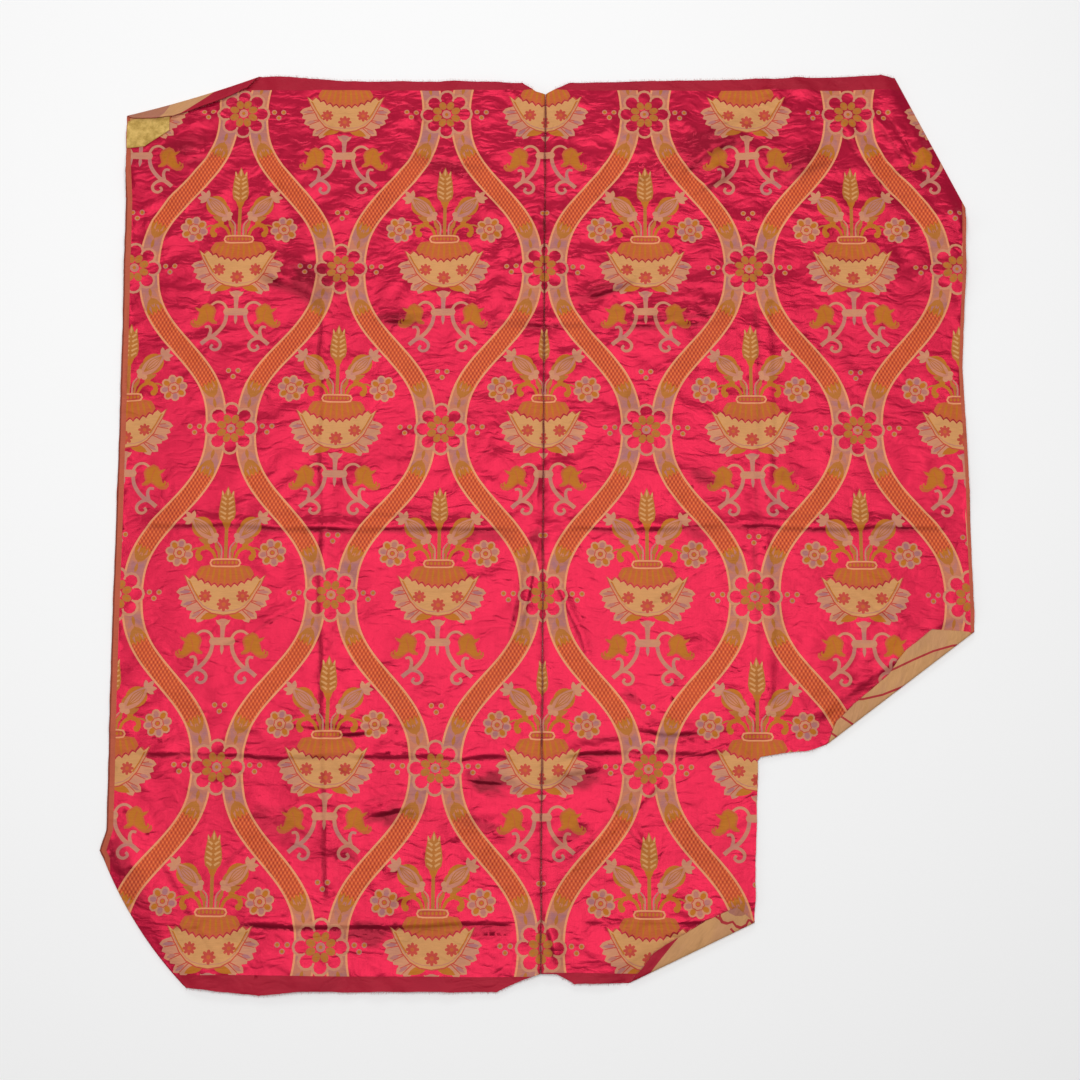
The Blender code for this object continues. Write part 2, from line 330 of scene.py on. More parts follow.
def drawBowl(art):
    rim = mirrored([(-51, 25), (-44.5, 19.5), (-40, 24), (-33, 18), (-20, 22)])
    belly = mirrored([(45.5, 12), (38.7, 0), (36, -5.7), (27, -16.5), (15, -23.3)], [(0, -25.8)])
    art.add(np.array(rim + belly) * (1.04, 1.06), "rust")
    art.add(rim + belly, "cream")
    art.pair([(-47, 19), (-44, 18), (-38, 6), (-30, -6), (-33, -7), (-42, 8)], "gold")
    art.add(stem(mirrored([(46, 17), (37.5, 1), (27, -13.5), (12, -20.5)]), 1.2, per=2), "tan")
    for x, y, size in ((-24, -2, 8.4), (24, -2, 8.4), (0, -12.5, 9.2)):
        art.add(lobed(x, y, size, 8, 0.36, 0.0, 0.7, 4), "rust")
        art.add(ring(x, y, size * 0.30, count=8), "orange")


def drawLid(art):
    # feathered, with a zigzag edge
    half, sag = 37, 11.6
    x = np.linspace(-half, half, 37)
    tooth = np.array([-1.6, 0, 2.6, 0])[np.arange(37) % 4]
    sink = 24.4 - sag * (1 - (x / half) ** 2) - tooth
    art.add(np.vstack([np.column_stack([x * 1.03, sink - 2.2]), [(half, 26), (-half, 26)]]), "crimson")
    art.add(np.vstack([np.column_stack([x, sink]), mirrored([(35, 31), (31, 36.5), (16, 38.5)])]), "orange")
    for k in range(-4, 5):
        low = 24.0 - sag * (1 - (k * 8.2 / half) ** 2)
        art.add(leaf((k * 6.4, 36), (k * 8.2, low + 1), 3.0), "gold")


def drawNeck(art):
    ringEdge = mirrored([(-20.3, 40.8), (-18, 45.6), (-12, 46.6)]) + mirrored([(18, 36.2), (12, 35.2)])
    art.add(ringEdge, "salmon")
    art.add(np.array(ringEdge) * (0.90, 0.66) + (0, 13.9), "rust")
    for k in range(-3, 4):
        art.add(ring(k * 4.7, 41.3, 1.7, 2.4, count=8), "gold")


def drawFoot(art):
    art.add(mirrored([(-7.5, -33), (-2, -31)]) + mirrored([(4, -38), (2.8, -46), (2.6, -56)]), "tan")
    art.pair(leaf((2, -40), (9.5, -32), 3.4), "pale")
    art.pair(stem([(12, -56), (15.5, -50), (21, -47), (27, -47.5), (32.5, -51.5)], 3.6, 3.2), "pale")
    art.pair(stem([(12, -64), (14, -74), (19.5, -84), (27, -92), (35.5, -97), (44, -104)], 4.8, 5.4), "tan")
    art.pair(stem([(34, -95), (32, -86), (34.5, -80), (40, -80.5)], 4.6, 3.2), "tan")
    curl = [(39, -99), (31, -95.5), (23, -98), (18.5, -104), (20.5, -110.5), (26.5, -112.5), (31, -109),
            (28.5, -105)]
    art.pair(stem(curl, 4.6, 3.4), "tan")
    art.add(leaf((0, -62), (0, -77), 4.6), "tan")
    bar = mirrored([(-16.5, -60), (-15, -56.2), (-11, -55.2)]) + mirrored([(15, -63.8), (11, -64.8)])
    art.add(bar, "pale")


def drawLilies(art):
    # one nods on each side of the foot
    lily = [(32, -51), (38, -48), (44, -51), (47, -56), (54, -54), (51, -58.5), (47.5, -61), (49, -66),
            (50.5, -71.5), (54, -76), (56.5, -75), (55.5, -71.5), (58.5, -72.5), (59, -77), (55.5, -81),
            (49, -81.5), (43, -78.5), (38.5, -74.5), (35.5, -73), (31, -76), (24.5, -76.5), (24, -73.5),
            (28.5, -71), (27, -65), (25.5, -59), (28, -53.5)]
    art.pair(lily, "orange")
    middle = np.array((39, -62))
    art.pair((np.array(lily) - middle) * 0.80 + middle, "gold")
    art.pair(stem([(40, -55), (37, -64), (36, -72)], 1.2, 0.8), "orange")


def makeVase():
    art = Drawing()
    for draw in (drawStems, drawMiddleFlower, drawBuds, drawDaisies, drawAcanthus, drawBowl, drawLid,
                 drawNeck, drawFoot, drawLilies):
        draw(art)
    return art


def ribbonLine():
    dy = np.linspace(0, figure["down"], 33)
    c = np.cos(math.pi * dy / figure["down"])
    swing = (figure["across"] / 2 - figure["ribbonNear"]) * c * (1 + figure["ribbonSharp"] * (1 - c * c))
    return np.column_stack([figure["across"] / 2 - swing, -dy])


def makeRibbon(lean):
    # from a rosette down to its neighbour, lean +1 to the right and -1 to the left
    art = Drawing()
    line = ribbonLine() * (lean, 1)
    side = sidewaysOf(line)
    length = np.concatenate([[0], np.cumsum(np.linalg.norm(np.diff(line, axis=0), axis=1))])
    total = length[-1]

    def at(s, across):
        place = np.array([np.interp(s, length, line[:, 0]), np.interp(s, length, line[:, 1])])
        out = np.array([np.interp(s, length, side[:, 0]), np.interp(s, length, side[:, 1])])
        return place + out * across

    def strip(half, start, end, teeth=0.0):
        steps = np.concatenate([[start], length[(length > start + 0.5) & (length < end - 0.5)], [end]])
        one = [at(s, half) for s in steps]
        other = [at(s, -half) for s in steps[::-1]]
        if not teeth:
            return one + other
        count = 8
        cut = [half - 2 * half * k / count for k in range(1, count)]
        endCap = [at(end + (teeth if k % 2 else -teeth * 0.6), a) for k, a in enumerate(cut, 1)]
        startCap = [at(start - (teeth if k % 2 else -teeth * 0.6), -a) for k, a in enumerate(cut, 1)]
        return one + endCap + other + startCap

    half = figure["ribbonWide"] / 2
    inner = half - figure["ribbonEdge"]
    art.add(strip(half, 0, total), "salmon")
    art.add(strip(inner, 0, total), "ribbon")
    coral = figure["coralFrom"]
    start, step = figure["sprigFrom"], figure["sprigStep"]
    for sign, first in ((1, start), (-1, total - start)):
        for k in range(3):
            root = first + sign * k * step
            for a in (-1, 1):
                tip = at(root + sign * step, a * inner * 0.78)
                art.add(leaf(at(root, 0), tip, 6.4, 0), "olive" if k % 2 else "mauve")
            art.add(leaf(at(root - sign * 2, 0), at(root + sign * 11, 0), 4.6), "olive")
    art.add(strip(inner, coral - 3.0, total - coral + 3.0, 8.0), "gold")
    art.add(strip(inner, coral + 2.5, total - coral - 2.5, 3.5), "coral")
    return art


def lattice(side):
    # the middle of each rosette (True) and each vase (False) on the left width, -1, or the right one, +1
    for column in range(-1, 10):
        for row in range(-1, 9):
            x = (column - 4) * figure["across"] - side * figure["takeUp"]
            yield x, (3.5 - row) * figure["down"], (column + row) % 2 == 0


def touching(shapes, low, high):
    return [(p, yarn) for p, yarn in shapes if (p.max(0) > low).all() and (p.min(0) < high).all()]


def figureShapes(low, high, side):
    # every motif that touches one loom width
    rosette, trefoil, vase = makeRosette(), makeTrefoil(), makeVase()
    ribbons = [makeRibbon(1), makeRibbon(-1)]
    under, middle, over = [], [], []
    for x, y, isRosette in lattice(side):
        if not isRosette:
            middle += vase.placed(x, y)
            continue
        for ribbon in ribbons:
            under += ribbon.placed(x, y)
        over += rosette.placed(x, y)
        for dx, dy in ((-47, 0), (47, 0), (0, 75)):
            middle += trefoil.placed(x + dx, y + dy)
    return touching(under + middle + over, low, high)


def reverseShapes(low, high, side):
    # the back shows each cream line of the face as a thin red one
    art = Drawing()
    for x, y, isRosette in lattice(side):
        if isRosette:
            for lean in (1, -1):
                middle = ribbonLine() * (lean, 1)
                for away in (-12.2, 12.2):
                    edge = (middle + sidewaysOf(middle) * away)[::3]
                    art.add(stem(edge, 2.6, per=1) + (x, y), "reverseRed")
            art.add(lobed(x, y, 34, 8, 0.2, 0, 1, 4), "reverseRed")
            art.add(lobed(x, y, 30, 8, 0.2, 0, 1, 4), "reverse")
            art.add(ring(x, y, 18, count=14), "reverseMauve")
            continue
        art.add(ring(x, y + 2, 44, 24, count=18), "reverseMauve")
        art.add(leaf((x, y + 84), (x, y + 140), 24, count=6), "reverseMauve")
        for dx in (-59.5, 59.5):
            art.add(ring(x + dx, y + 54, 16, count=12), "reverseMauve")
        for dx in (-42, 42):
            art.add(ring(x + dx, y - 61, 15, count=12), "reverseRed")
        art.add(stem([(x - 17, y - 60), (x + 17, y - 60)], 10, per=1), "reverseRed")
    return touching(art.shapes, low, high)


# the turned corners: s runs along a fold, and w out across it
def frameOf(start, end):
    # start, way along, way out to the right of it, and length
    start, end = np.array(start, float), np.array(end, float)
    length = np.hypot(*(end - start))
    along = (end - start) / length
    return start, along, np.array([along[1], -along[0]]), length


def makeFold(spec):
    start, along, out, length = frameOf(spec["start"], spec["end"])
    return {"start": start, "along": along, "out": out, "length": length,
            "bow": spec["bow"], "way": spec["way"], "edge": spec["edge"],
            "reach": max(reach for _, reach in spec["edge"]),
            "radius": panel["frontBend"] if spec["way"] > 0 else panel["underBend"]}


folds = {name: makeFold(spec) for name, spec in turns.items()}


def foldBulge(fold, s):
    part = np.clip(s / fold["length"], 0, 1)
    return fold["bow"] * 4 * part * (1 - part)


def foldPlace(fold, s, w):
    return fold["start"] + np.outer(s, fold["along"]) + np.outer(w, fold["out"])


def foldTerms(fold, flat):
    s = (flat - fold["start"]) @ fold["along"]
    return s, (flat - fold["start"]) @ fold["out"] - foldBulge(fold, s)


def foldCut(fold):
    # the raw edge of the turned part, laid out flat
    s, reach = np.array(fold["edge"], float).T
    raw = foldPlace(fold, s, foldBulge(fold, s) + reach)
    end = fold["start"] + fold["along"] * fold["length"]
    return [fold["start"], *raw, end]


def foldLines(fold, steps, spacing):
    # lines along the bend, for the cloth's faces to follow
    half = math.pi * fold["radius"]
    offsets = [half * k / steps - fold["radius"] for k in range(steps + 1)]
    s = np.arange(-0.2 * fold["length"], 1.2 * fold["length"], spacing)
    return [foldPlace(fold, s, foldBulge(fold, s) + w) for w in offsets]


# how the silk lies: each storage crease or pull has its ends, height and half width in mm,
# lean (+1 steep on the right of the way) and unevenness
creases = tableOf(("from", "to", "high", "half", "lean", "uneven"), {
    "leftQuarter": ((-293, 341), (-259, -500), 1.9, 9, 0.4, 0.5),
    "rightQuarter": ((291, 356), (279, -262), 1.7, 12, -0.3, 0.5),
    "upperCross": ((-226, 262), (256, 262), 2.6, 13, 0.45, 0.9),
    "middleLeft": ((-520, -12), (-24, -15), 3.4, 12, 0.5, 0.35),
    "middleLeftAbove": ((-440, 2), (-90, 1), 1.8, 8, 0.45, 0.8),
    "middleRightAbove": ((270, 0), (420, -1), 2.2, 8, 0.45, 0.8),
    "upperDash": ((-226, 264), (-146, 262), 3.2, 11, 0.5, 0.3),
    "middleRight": ((24, -15), (524, -9), 2.8, 11, 0.5, 0.45),
    "lowerLeft": ((-515, -301), (-24, -305), 2.2, 11, 0.5, 0.6),
    "lowerRight": ((24, -301), (236, -299), 1.5, 11, 0.5, 0.6),
    "footCross": ((-380, -509), (-25, -509), 3.2, 11, 0.5, 0.35),
    "footCrossRight": ((40, -508), (215, -508), 1.1, 8, 0.6, 0.6),
    "topRightPull": ((392, 545), (470, 430), 2.2, 12, 0.4, 0.3),
    "topRightPullOne": ((425, 565), (500, 452), 1.8, 9, 0.5, 0.3),
    "topRightPullTwo": ((455, 560), (520, 450), 1.5, 8, 0.5, 0.3),
    "topLeftPull": ((-500, 480), (-402, 505), 2.0, 12, 0.4, 0.6),
    "shadeFold": ((-375, 340), (-268, 286), 5.2, 24, 0.45, 0.3),
    "seamPullLeft": ((-190, 500), (-60, 470), 1.8, 11, 0.5, 0.6),
    "seamPullRight": ((60, 440), (200, 492), 1.8, 11, 0.5, 0.6),
    "darkPullOne": ((165, 470), (262, 528), 3.8, 17, 0.5, 0.5),
    "darkPullTwo": ((190, 440), (255, 470), 3.4, 14, 0.5, 0.4),
    "darkPullThree": ((300, 455), (385, 492), 3.6, 17, 0.5, 0.5),
    "crossPull": ((22, 284), (122, 322), 3.2, 12, 0.5, 0.5),
    "crossPullTwo": ((95, 262), (238, 274), 3.4, 12, 0.5, 0.5),
    "vasePull": ((18, -302), (112, -301), 3.4, 11, 0.5, 0.15),
    "vasePullTwo": ((118, -273), (206, -274), 3.4, 10, 0.5, 0.15),
    "lowPullOne": ((-100, -333), (-38, -334), 3.4, 12, 0.5, 0.4),
    "lowPullTwo": ((12, -330), (78, -317), 3.4, 12, 0.5, 0.4),
    "lowPullThree": ((-222, -381), (-150, -366), 3.4, 12, 0.5, 0.6),
    "lowPullFour": ((-264, -276), (-210, -278), 3.2, 9, 0.6, 0.15),
    "middleDiagonal": ((-120, 60), (-50, 98), 1.4, 8, 0.4, 0.4),
    "vaseDiagonal": ((-420, -180), (-300, -110), 1.2, 8, 0.4, 0.6),
    "budDiagonal": ((120, -120), (215, -60), 1.2, 8, 0.4, 0.5),
    "farDiagonal": ((380, -90), (470, -150), 1.3, 8, 0.4, 0.5),
    "lowerLeftUpper": ((-395, -274), (-150, -270), 1.9, 9, 0.5, 0.8),
    "seamWedgeLeft": ((-9, -30), (-36, -170), 2.6, 8, -0.4, 0.3),
    "seamWedgeRight": ((16, -80), (62, -195), 2.0, 7, 0.4, 0.3),
    "seamPinch": ((-13, 60), (-15, 5), 1.5, 6, -0.4, 0.3),
    "footPinch": ((14, -500), (25, -572), 2.4, 9, 0.4, 0.3),
    "cornerRidge": ((-478, -420), (-380, -568), 1.3, 8, 0.3, 0.4),
    "flapRidge": ((330, -262), (520, -125), 1.6, 12, 0.5, 0.4),
    "longDiagonalOne": ((-330, -400), (-392, -462), 1.5, 8, 0.3, 0.3),
    "longDiagonalTwo": ((150, -330), (30, -460), 1.4, 8, -0.3, 0.4),
    "longDiagonalThree": ((80, -350), (150, -446), 1.5, 8, 0.3, 0.3),
})

# soft hollows painted dark as painted shade: middle, half length and half width, turn in degrees, how dark
paintedShadeHollows = tableOf(("at", "reach", "turn", "deep"), {
    "leftVase": ((-308, 308), (38, 25), -28, 0.72),
    "rightPull": ((214, 500), (62, 24), 31, 0.5),
    "rightSecond": ((344, 474), (50, 20), 24, 0.5),
    "upperDash": ((-186, 260), (38, 8), 0, 0.8),
    "upperSeam": ((-36, 253), (34, 7), 0, 0.5),
    "lowTriangle": ((-65, -345), (30, 14), -8, 0.95),
    "lowVase": ((42, -338), (40, 14), 12, 0.9),
    "lowMiddle": ((-188, -386), (42, 14), 14, 0.85),
    "seamLeft": ((-75, -396), (28, 9), -16, 0.6),
    "seamRight": ((36, -408), (28, 9), 24, 0.6),
    "lowSmall": ((-236, -434), (16, 8), -45, 0.6),
    "foot": ((-207, -530), (42, 13), 0, 0.75),
    "footSeam": ((-64, -524), (30, 7), 0, 0.45),
    "corner": ((-516, -446), (52, 15), -60, 0.5),
    "lowLeft": ((-325, -398), (44, 20), -16, 0.4),
    "pinch": ((-7, -30), (11, 9), 50, 0.7),
    "middleSeam": ((-76, -32), (32, 9), 0, 0.55),
    "bellRight": ((205, 45), (22, 11), -16, 0.6),
    "bellFar": ((316, 51), (15, 9), 20, 0.5),
    "budRight": ((190, -21), (22, 9), -32, 0.5),
    "lowSprig": ((110, -238), (18, 6), -30, 0.5),
    "upperLeft": ((-480, 500), (46, 14), 14, 0.45),
    "upperMiddle": ((-140, 470), (52, 13), -15, 0.4),
    "crossRight": ((78, 298), (50, 10), 20, 0.5),
    "crossFar": ((168, 262), (58, 8), 5, 0.5),
})

buckles = {
    "seed": 12,
    "topHeight": 1.9,         # of the small buckles above the upper cross crease, mm
    "restHeight": 1.15,       # of the same lower down
    "topFrom": 215.0,         # they grow from here
    "topTo": 345.0,
    # slant in degrees, size along and across the slant, and share of each set of ripples
    "ripples": ((16, 34, 14, 0.9), (-33, 30, 13, 0.8), (48, 26, 12, 0.6), (2, 22, 10.5, 0.5)),
    "floor": 1.3,             # how far down the ripples reach before they are cut flat
    "swell": 1.7,             # broad slow rises
    "calm": 34.0,             # the silk lies calmer this close to a corner turned to the front
    "underCalm": 16.0,
    "pastCalm": 20.0,         # and this far past a fold's ends
}

seam = {
    "lift": 1.3,              # the turnings under it lift its sides
    "steep": 5.0,             # within this
    "flat": 12.0,             # as far as here
    "fade": 22.0,             # and fall away over this
}


def noise(x, y, sizeX, sizeY, seed, table=64):
    rng = np.random.RandomState(seed)
    grid = rng.rand(table, table) * 2 - 1
    u, v = x / sizeX + rng.rand() * table, y / sizeY + rng.rand() * table
    i, j = np.floor(u).astype(int), np.floor(v).astype(int)
    fu, fv = u - i, v - j
    fu, fv = fu ** 3 * (fu * (6 * fu - 15) + 10), fv ** 3 * (fv * (6 * fv - 15) + 10)
    a, b = grid[i % table, j % table], grid[(i + 1) % table, j % table]
    c, d = grid[i % table, (j + 1) % table], grid[(i + 1) % table, (j + 1) % table]
    return (a * (1 - fu) + b * fu) * (1 - fv) + (c * (1 - fu) + d * fu) * fv


def turnedNoise(x, y, degrees, sizeX, sizeY, seed):
    c, s = math.cos(math.radians(degrees)), math.sin(math.radians(degrees))
    return noise(c * x + s * y, c * y - s * x, sizeX, sizeY, seed)


def noiseAlong(s, size, seed):
    return noise(s, s * 0, size, size, seed)


def creaseWander(s, seed):
    # a crease wanders a few millimetres from its straight way
    return noiseAlong(s, 38, seed) * 2.6 + noiseAlong(s, 120, seed + 1) * 3.0


def creaseSeed(number):
    return 100 + 7 * number


def creaseLines():
    # crest, feet and slopes of each crease, so that the cloth's faces follow them
    lines = []
    for k, spec in enumerate(creases.values()):
        start, along, side, length = frameOf(spec["from"], spec["to"])
        s = np.linspace(0, length, max(4, int(length / 8)))
        lean = spec["lean"]
        for part in (-1, lean - 0.5 * (1 + lean), lean, lean + 0.5 * (1 - lean), 1, 1.35):
            across = part * spec["half"] - creaseWander(s, creaseSeed(k))
            lines.append(start + np.outer(s, along) + np.outer(across, side))
    # and lines through each patch of painted shade, so that the painted shade has faces to follow
    for spec in paintedShadeHollows.values():
        turn = math.radians(spec["turn"])
        along = np.array([math.cos(turn), math.sin(turn)])
        side = np.array([along[1], -along[0]])
        s = np.linspace(-0.9, 0.9, max(4, int(spec["reach"][0] / 4))) * spec["reach"][0]
        for across in (-0.85, 0.0, 0.85):
            lines.append(np.array(spec["at"]) + np.outer(s, along) + across * spec["reach"][1] * side)
    return lines


def creaseTerms(x, y, spec, seed, fade, fadeShare):
    # place across a crease in half widths, and how strong it is there
    start, along, _, length = frameOf(spec["from"], spec["to"])
    s = (x - start[0]) * along[0] + (y - start[1]) * along[1]
    across = (x - start[0]) * along[1] - (y - start[1]) * along[0]
    across = (across + creaseWander(s, seed)) / spec["half"]
    level = 1 - spec["uneven"] * (0.5 + 0.5 * np.clip(2.2 * noiseAlong(s, 30, seed + 2), -1, 1))
    return across, level * smoothStep(np.minimum(s, length - s) / min(fade, fadeShare * length))


def creaseHeight(x, y, spec, seed):
    across, level = creaseTerms(x, y, spec, seed, 30.0, 0.35)
    lean = spec["lean"]
    t = np.where(across > lean, (across - lean) / (1 - lean), (lean - across) / (1 + lean))
    return spec["high"] * 0.5 * (1 + np.cos(math.pi * np.clip(t, 0, 1))) * level


def paintedSilkShade(flat):
    # painted shade: how much darker the silk is painted along the foot of a crease and in its deep soft
    # hollows, standing in for their shade
    x, y = flat[:, 0], flat[:, 1]
    dim = np.zeros(len(flat))
    for k, spec in enumerate(creases.values()):
        across, level = creaseTerms(x, y, spec, creaseSeed(k), 24.0, 0.3)
        # a painted shadow line at the steep foot of each crease, and a fainter one at its other foot
        foot = np.exp(-((across - 0.92) / 0.24) ** 2) + 0.45 * np.exp(-((across + 0.85) / 0.16) ** 2)
        dim = np.maximum(dim, min(1.0, spec["high"] / 3.2) * foot * level)
    # painted shade over each hollow
    for spec in paintedShadeHollows.values():
        c, s = math.cos(math.radians(spec["turn"])), math.sin(math.radians(spec["turn"]))
        u, v = x - spec["at"][0], y - spec["at"][1]
        u, v = (c * u + s * v) / spec["reach"][0], (c * v - s * u) / spec["reach"][1]
        away = np.hypot(u, v) + 0.45 * noise(x, y, 16, 11, 61) + 0.25 * noise(x, y, 7, 6, 62)
        dim = np.maximum(dim, spec["deep"] * smoothStep((1.15 - away) / 0.7))
    return np.clip(dim, 0, 1)


def pastEnds(fold, s):
    return np.maximum(np.maximum(-s, s - fold["length"]), 0)


def silkHeight(flat):
    x, y = flat[:, 0], flat[:, 1]
    seed = buckles["seed"]
    high = np.zeros(len(flat))
    for k, spec in enumerate(creases.values()):
        high = np.maximum(high, creaseHeight(x, y, spec, creaseSeed(k)))
    # small buckles, close and sharp at the top and fainter below
    patchy = smoothStep(0.55 + 0.9 * noise(x, y, 95, 70, seed))
    top = smoothStep((y - buckles["topFrom"]) / (buckles["topTo"] - buckles["topFrom"]))
    strength = buckles["restHeight"] * (0.4 + 0.9 * patchy)
    strength = strength + (buckles["topHeight"] - buckles["restHeight"]) * top * (0.45 + 0.75 * patchy)
    bendX = x + 9 * noise(x, y, 60, 60, seed + 1)
    bendY = y + 9 * noise(x, y, 60, 60, seed + 2)
    small = np.zeros(len(flat))
    for k, (turn, sizeX, sizeY, share) in enumerate(buckles["ripples"]):
        ripple = turnedNoise(bendX, bendY, turn, sizeX, sizeY, seed + 10 + k)
        gate = smoothStep(0.5 + 1.3 * noise(x, y, 70, 52, seed + 30 + k))
        small += share * (ripple - 0.1 * np.exp(-(ripple / 0.2) ** 2)) * gate
    high += strength * np.maximum(small + buckles["floor"], 0)
    high += buckles["swell"] * (0.5 + 0.5 * noise(x, y, 150, 95, seed + 3))
    high += (0.7 + 1.5 * top) * (0.5 + 0.5 * turnedNoise(x, y, 12, 46, 27, seed + 4))
    high += (0.3 + 0.9 * top) * (0.5 + 0.5 * turnedNoise(x, y, -28, 30, 19, seed + 5))
    # the stitches hold the seam itself down
    away = np.abs(x)
    past = smoothStep((away - seam["flat"]) / seam["fade"])
    high += seam["lift"] * smoothStep(away / seam["steep"]) * (1 - past)
    rise = np.zeros(len(flat))
    for fold in folds.values():
        s, w = foldTerms(fold, flat)
        beyond = pastEnds(fold, s)
        near = buckles["calm"] if fold["way"] > 0 else buckles["underCalm"]
        calm = smoothStep(-(w + fold["radius"]) / near)
        high *= 1 - (1 - calm) * (1 - smoothStep(beyond / buckles["pastCalm"]))
        if fold["way"] < 0:
            # the cloth rises over its own turned-under strip
            level = smoothStep(1 - (-w - fold["reach"] - panel["riseMargin"]) / panel["riseFade"])
            rise = np.maximum(rise, 2 * fold["radius"] * level * smoothStep(1 - beyond / panel["riseFade"]))
    return high + rise


def middlePlace(flat, share=1.0):
    # where a flat point of the cloth lies, at the middle of its thickness
    height = panel["thickness"] / 2 + silkHeight(flat) * share
    place = np.column_stack([flat, height])
    for fold in folds.values():
        s, w = foldTerms(fold, flat)
        r, reach = fold["radius"], fold["reach"]
        past = w + r
        hit = (past > 0) & (s > -reach) & (s < fold["length"] + reach)
        if not hit.any():
            continue
        s, past, h = s[hit], past[hit], height[hit]
        bulge = foldBulge(fold, s)
        inBend = past < math.pi * r
        flatPart = np.maximum(past - math.pi * r, 0)
        newW = bulge - r + np.where(inBend, r * np.sin(np.minimum(past / r, math.pi)), -flatPart)
        z = h + fold["way"] * np.where(inBend, r * (1 - np.cos(np.minimum(past / r, math.pi))), 2 * r)
        if fold["way"] > 0:
            flare = smoothStep(flatPart / reach)
            z = z + panel["edgeLift"] * flare * (1 + 0.6 * noiseAlong(s, 34, 5))
            wavy = 0.5 + 0.5 * noise(s, flatPart, 22, 12, 6)
            z = z + panel["flapBuckle"] * smoothStep(flatPart / 6) * wavy
        place[hit, :2] = foldPlace(fold, s, newW)
        place[hit, 2] = z
    return place


def sheetPlace(flat, share=1.0):
    # middle surface and its upward normals
    step = 0.05
    here = middlePlace(flat, share)
    across = middlePlace(flat + (step, 0), share) - middlePlace(flat - (step, 0), share)
    down = middlePlace(flat + (0, step), share) - middlePlace(flat - (0, step), share)
    normal = np.cross(across, down)
    return here, normal / np.linalg.norm(normal, axis=1)[:, None]


# cutting one loom width into faces
def insideOutline(points, corners):
    x, y = points[:, 0], points[:, 1]
    odd = np.zeros(len(points), bool)
    for a, b in zip(corners, np.roll(corners, -1, axis=0)):
        if a[1] == b[1]:
            continue
        crosses = (a[1] > y) != (b[1] > y)
        odd ^= crosses & (a[0] + (y - a[1]) / (b[1] - a[1]) * (b[0] - a[0]) > x)
    return odd


def awayFrom(points, corners):
    # how far each point is from a closed line
    away = np.full(len(points), 1e9)
    for a, b in zip(corners, np.roll(corners, -1, axis=0)):
        run = b - a
        t = np.clip(((points - a) @ run) / max(run @ run, 1e-9), 0, 1)
        away = np.minimum(away, np.hypot(*(points - a - t[:, None] * run).T))
    return away


def cutOutline(side):
    cut = {name: foldCut(fold) for name, fold in folds.items()}
    o = outline
    # each stretch and how frayed it is
    if side < 0:
        parts = [([o["seamTop"]], 0), (o["topLeftEdge"], 1), (cut["topLeft"], 1), (o["leftSelvage"], 0.35),
                 (cut["bottomLeft"], 0.6), (o["footLeftEdge"], 1), ([o["seamFoot"]], 0)]
    else:
        parts = [([o["seamFoot"]], 0), (o["footRightEdge"], 1), (cut["bottomRight"], 1),
                 (o["cutEdge"], 0.8), (cut["right"], 0.8), (o["rightSelvage"], 0.35), (cut["topRight"], 0.6),
                 (o["topRightEdge"], 1), ([o["seamTop"]], 0)]
    corners, rough = [], []
    for points, fray in parts:
        corners += [np.array(p, float) for p in points]
        rough += [fray] * len(points)
    corners = np.array(corners)
    corners[[0, -1], 0] += side * panel["seamGap"] / 2
    spaced, frayed = [], []
    for k in range(len(corners)):
        a, b = corners[k], corners[(k + 1) % len(corners)]
        count = max(1, int(math.ceil(np.hypot(*(b - a)) / panel["edgeStep"])))
        for i in range(count):
            spaced.append(a + (b - a) * i / count)
            ends = (rough[k], rough[(k + 1) % len(corners)])
            frayed.append(0.0 if i == 0 or 0 in ends else max(ends))
    spaced, frayed = np.array(spaced), np.array(frayed)
    run = np.roll(spaced, -1, axis=0) - np.roll(spaced, 1, axis=0)
    out = np.column_stack([run[:, 1], -run[:, 0]]) / np.linalg.norm(run, axis=1)[:, None]
    rng = np.random.RandomState(31 + side)
    ragged = 0.6 * noise(spaced[:, 0], spaced[:, 1], 22, 22, 71) + 0.35 * (rng.rand(len(spaced)) - 0.5)
    return spaced + out * (ragged * frayed)[:, None]


def bandsOf(side):
    # the plain woven ends and the outer selvage, which lie over every motif
    far = 700
    if side < 0:
        edge = [(-far, far), (-567, 543)] + outline["leftSelvage"] + [(-540, -439), (-530, -far)]
        strips = [("selvage", panel["leftSelvage"]), ("selvageEdge", panel["selvageRim"])]
    else:
        edge = [(far, -far), (544, -152)] + outline["rightSelvage"] + [(556, 414), (560, far)]
        strips = [("selvage", -panel["rightSelvage"])]
    shapes = []
    for yarn, wide in strips:
        strip = np.array(edge + [(x + wide, y) for x, y in edge[::-1]], float)
        shapes.append((strip[::-side], yarn))
    foot = panel["footBandFrom"] + (5 if side > 0 else 0)
    x = np.linspace(-far, far, 240)
    top = panel["topBandFrom"] + 0.8 * noiseAlong(x, 60, 3)
    low = foot + 0.8 * noiseAlong(x, 60, 4)
    shapes.append((np.vstack([np.column_stack([x, top]), [(far, far), (-far, far)]]), "band"))
    shapes.append((np.vstack([np.column_stack([x, low])[::-1], [(-far, -far), (far, -far)]]), "band"))
    return shapes


def insideRuns(lines, edge):
    # the stretches of each line that lie on the cloth
    runs = []
    for line in lines:
        run = []
        for point, isIn in zip([*line, line[-1]], [*insideOutline(line, edge), False]):
            if isIn:
                run.append(point)
                continue
            if len(run) > 1:
                runs.append(run)
            run = []
    return runs


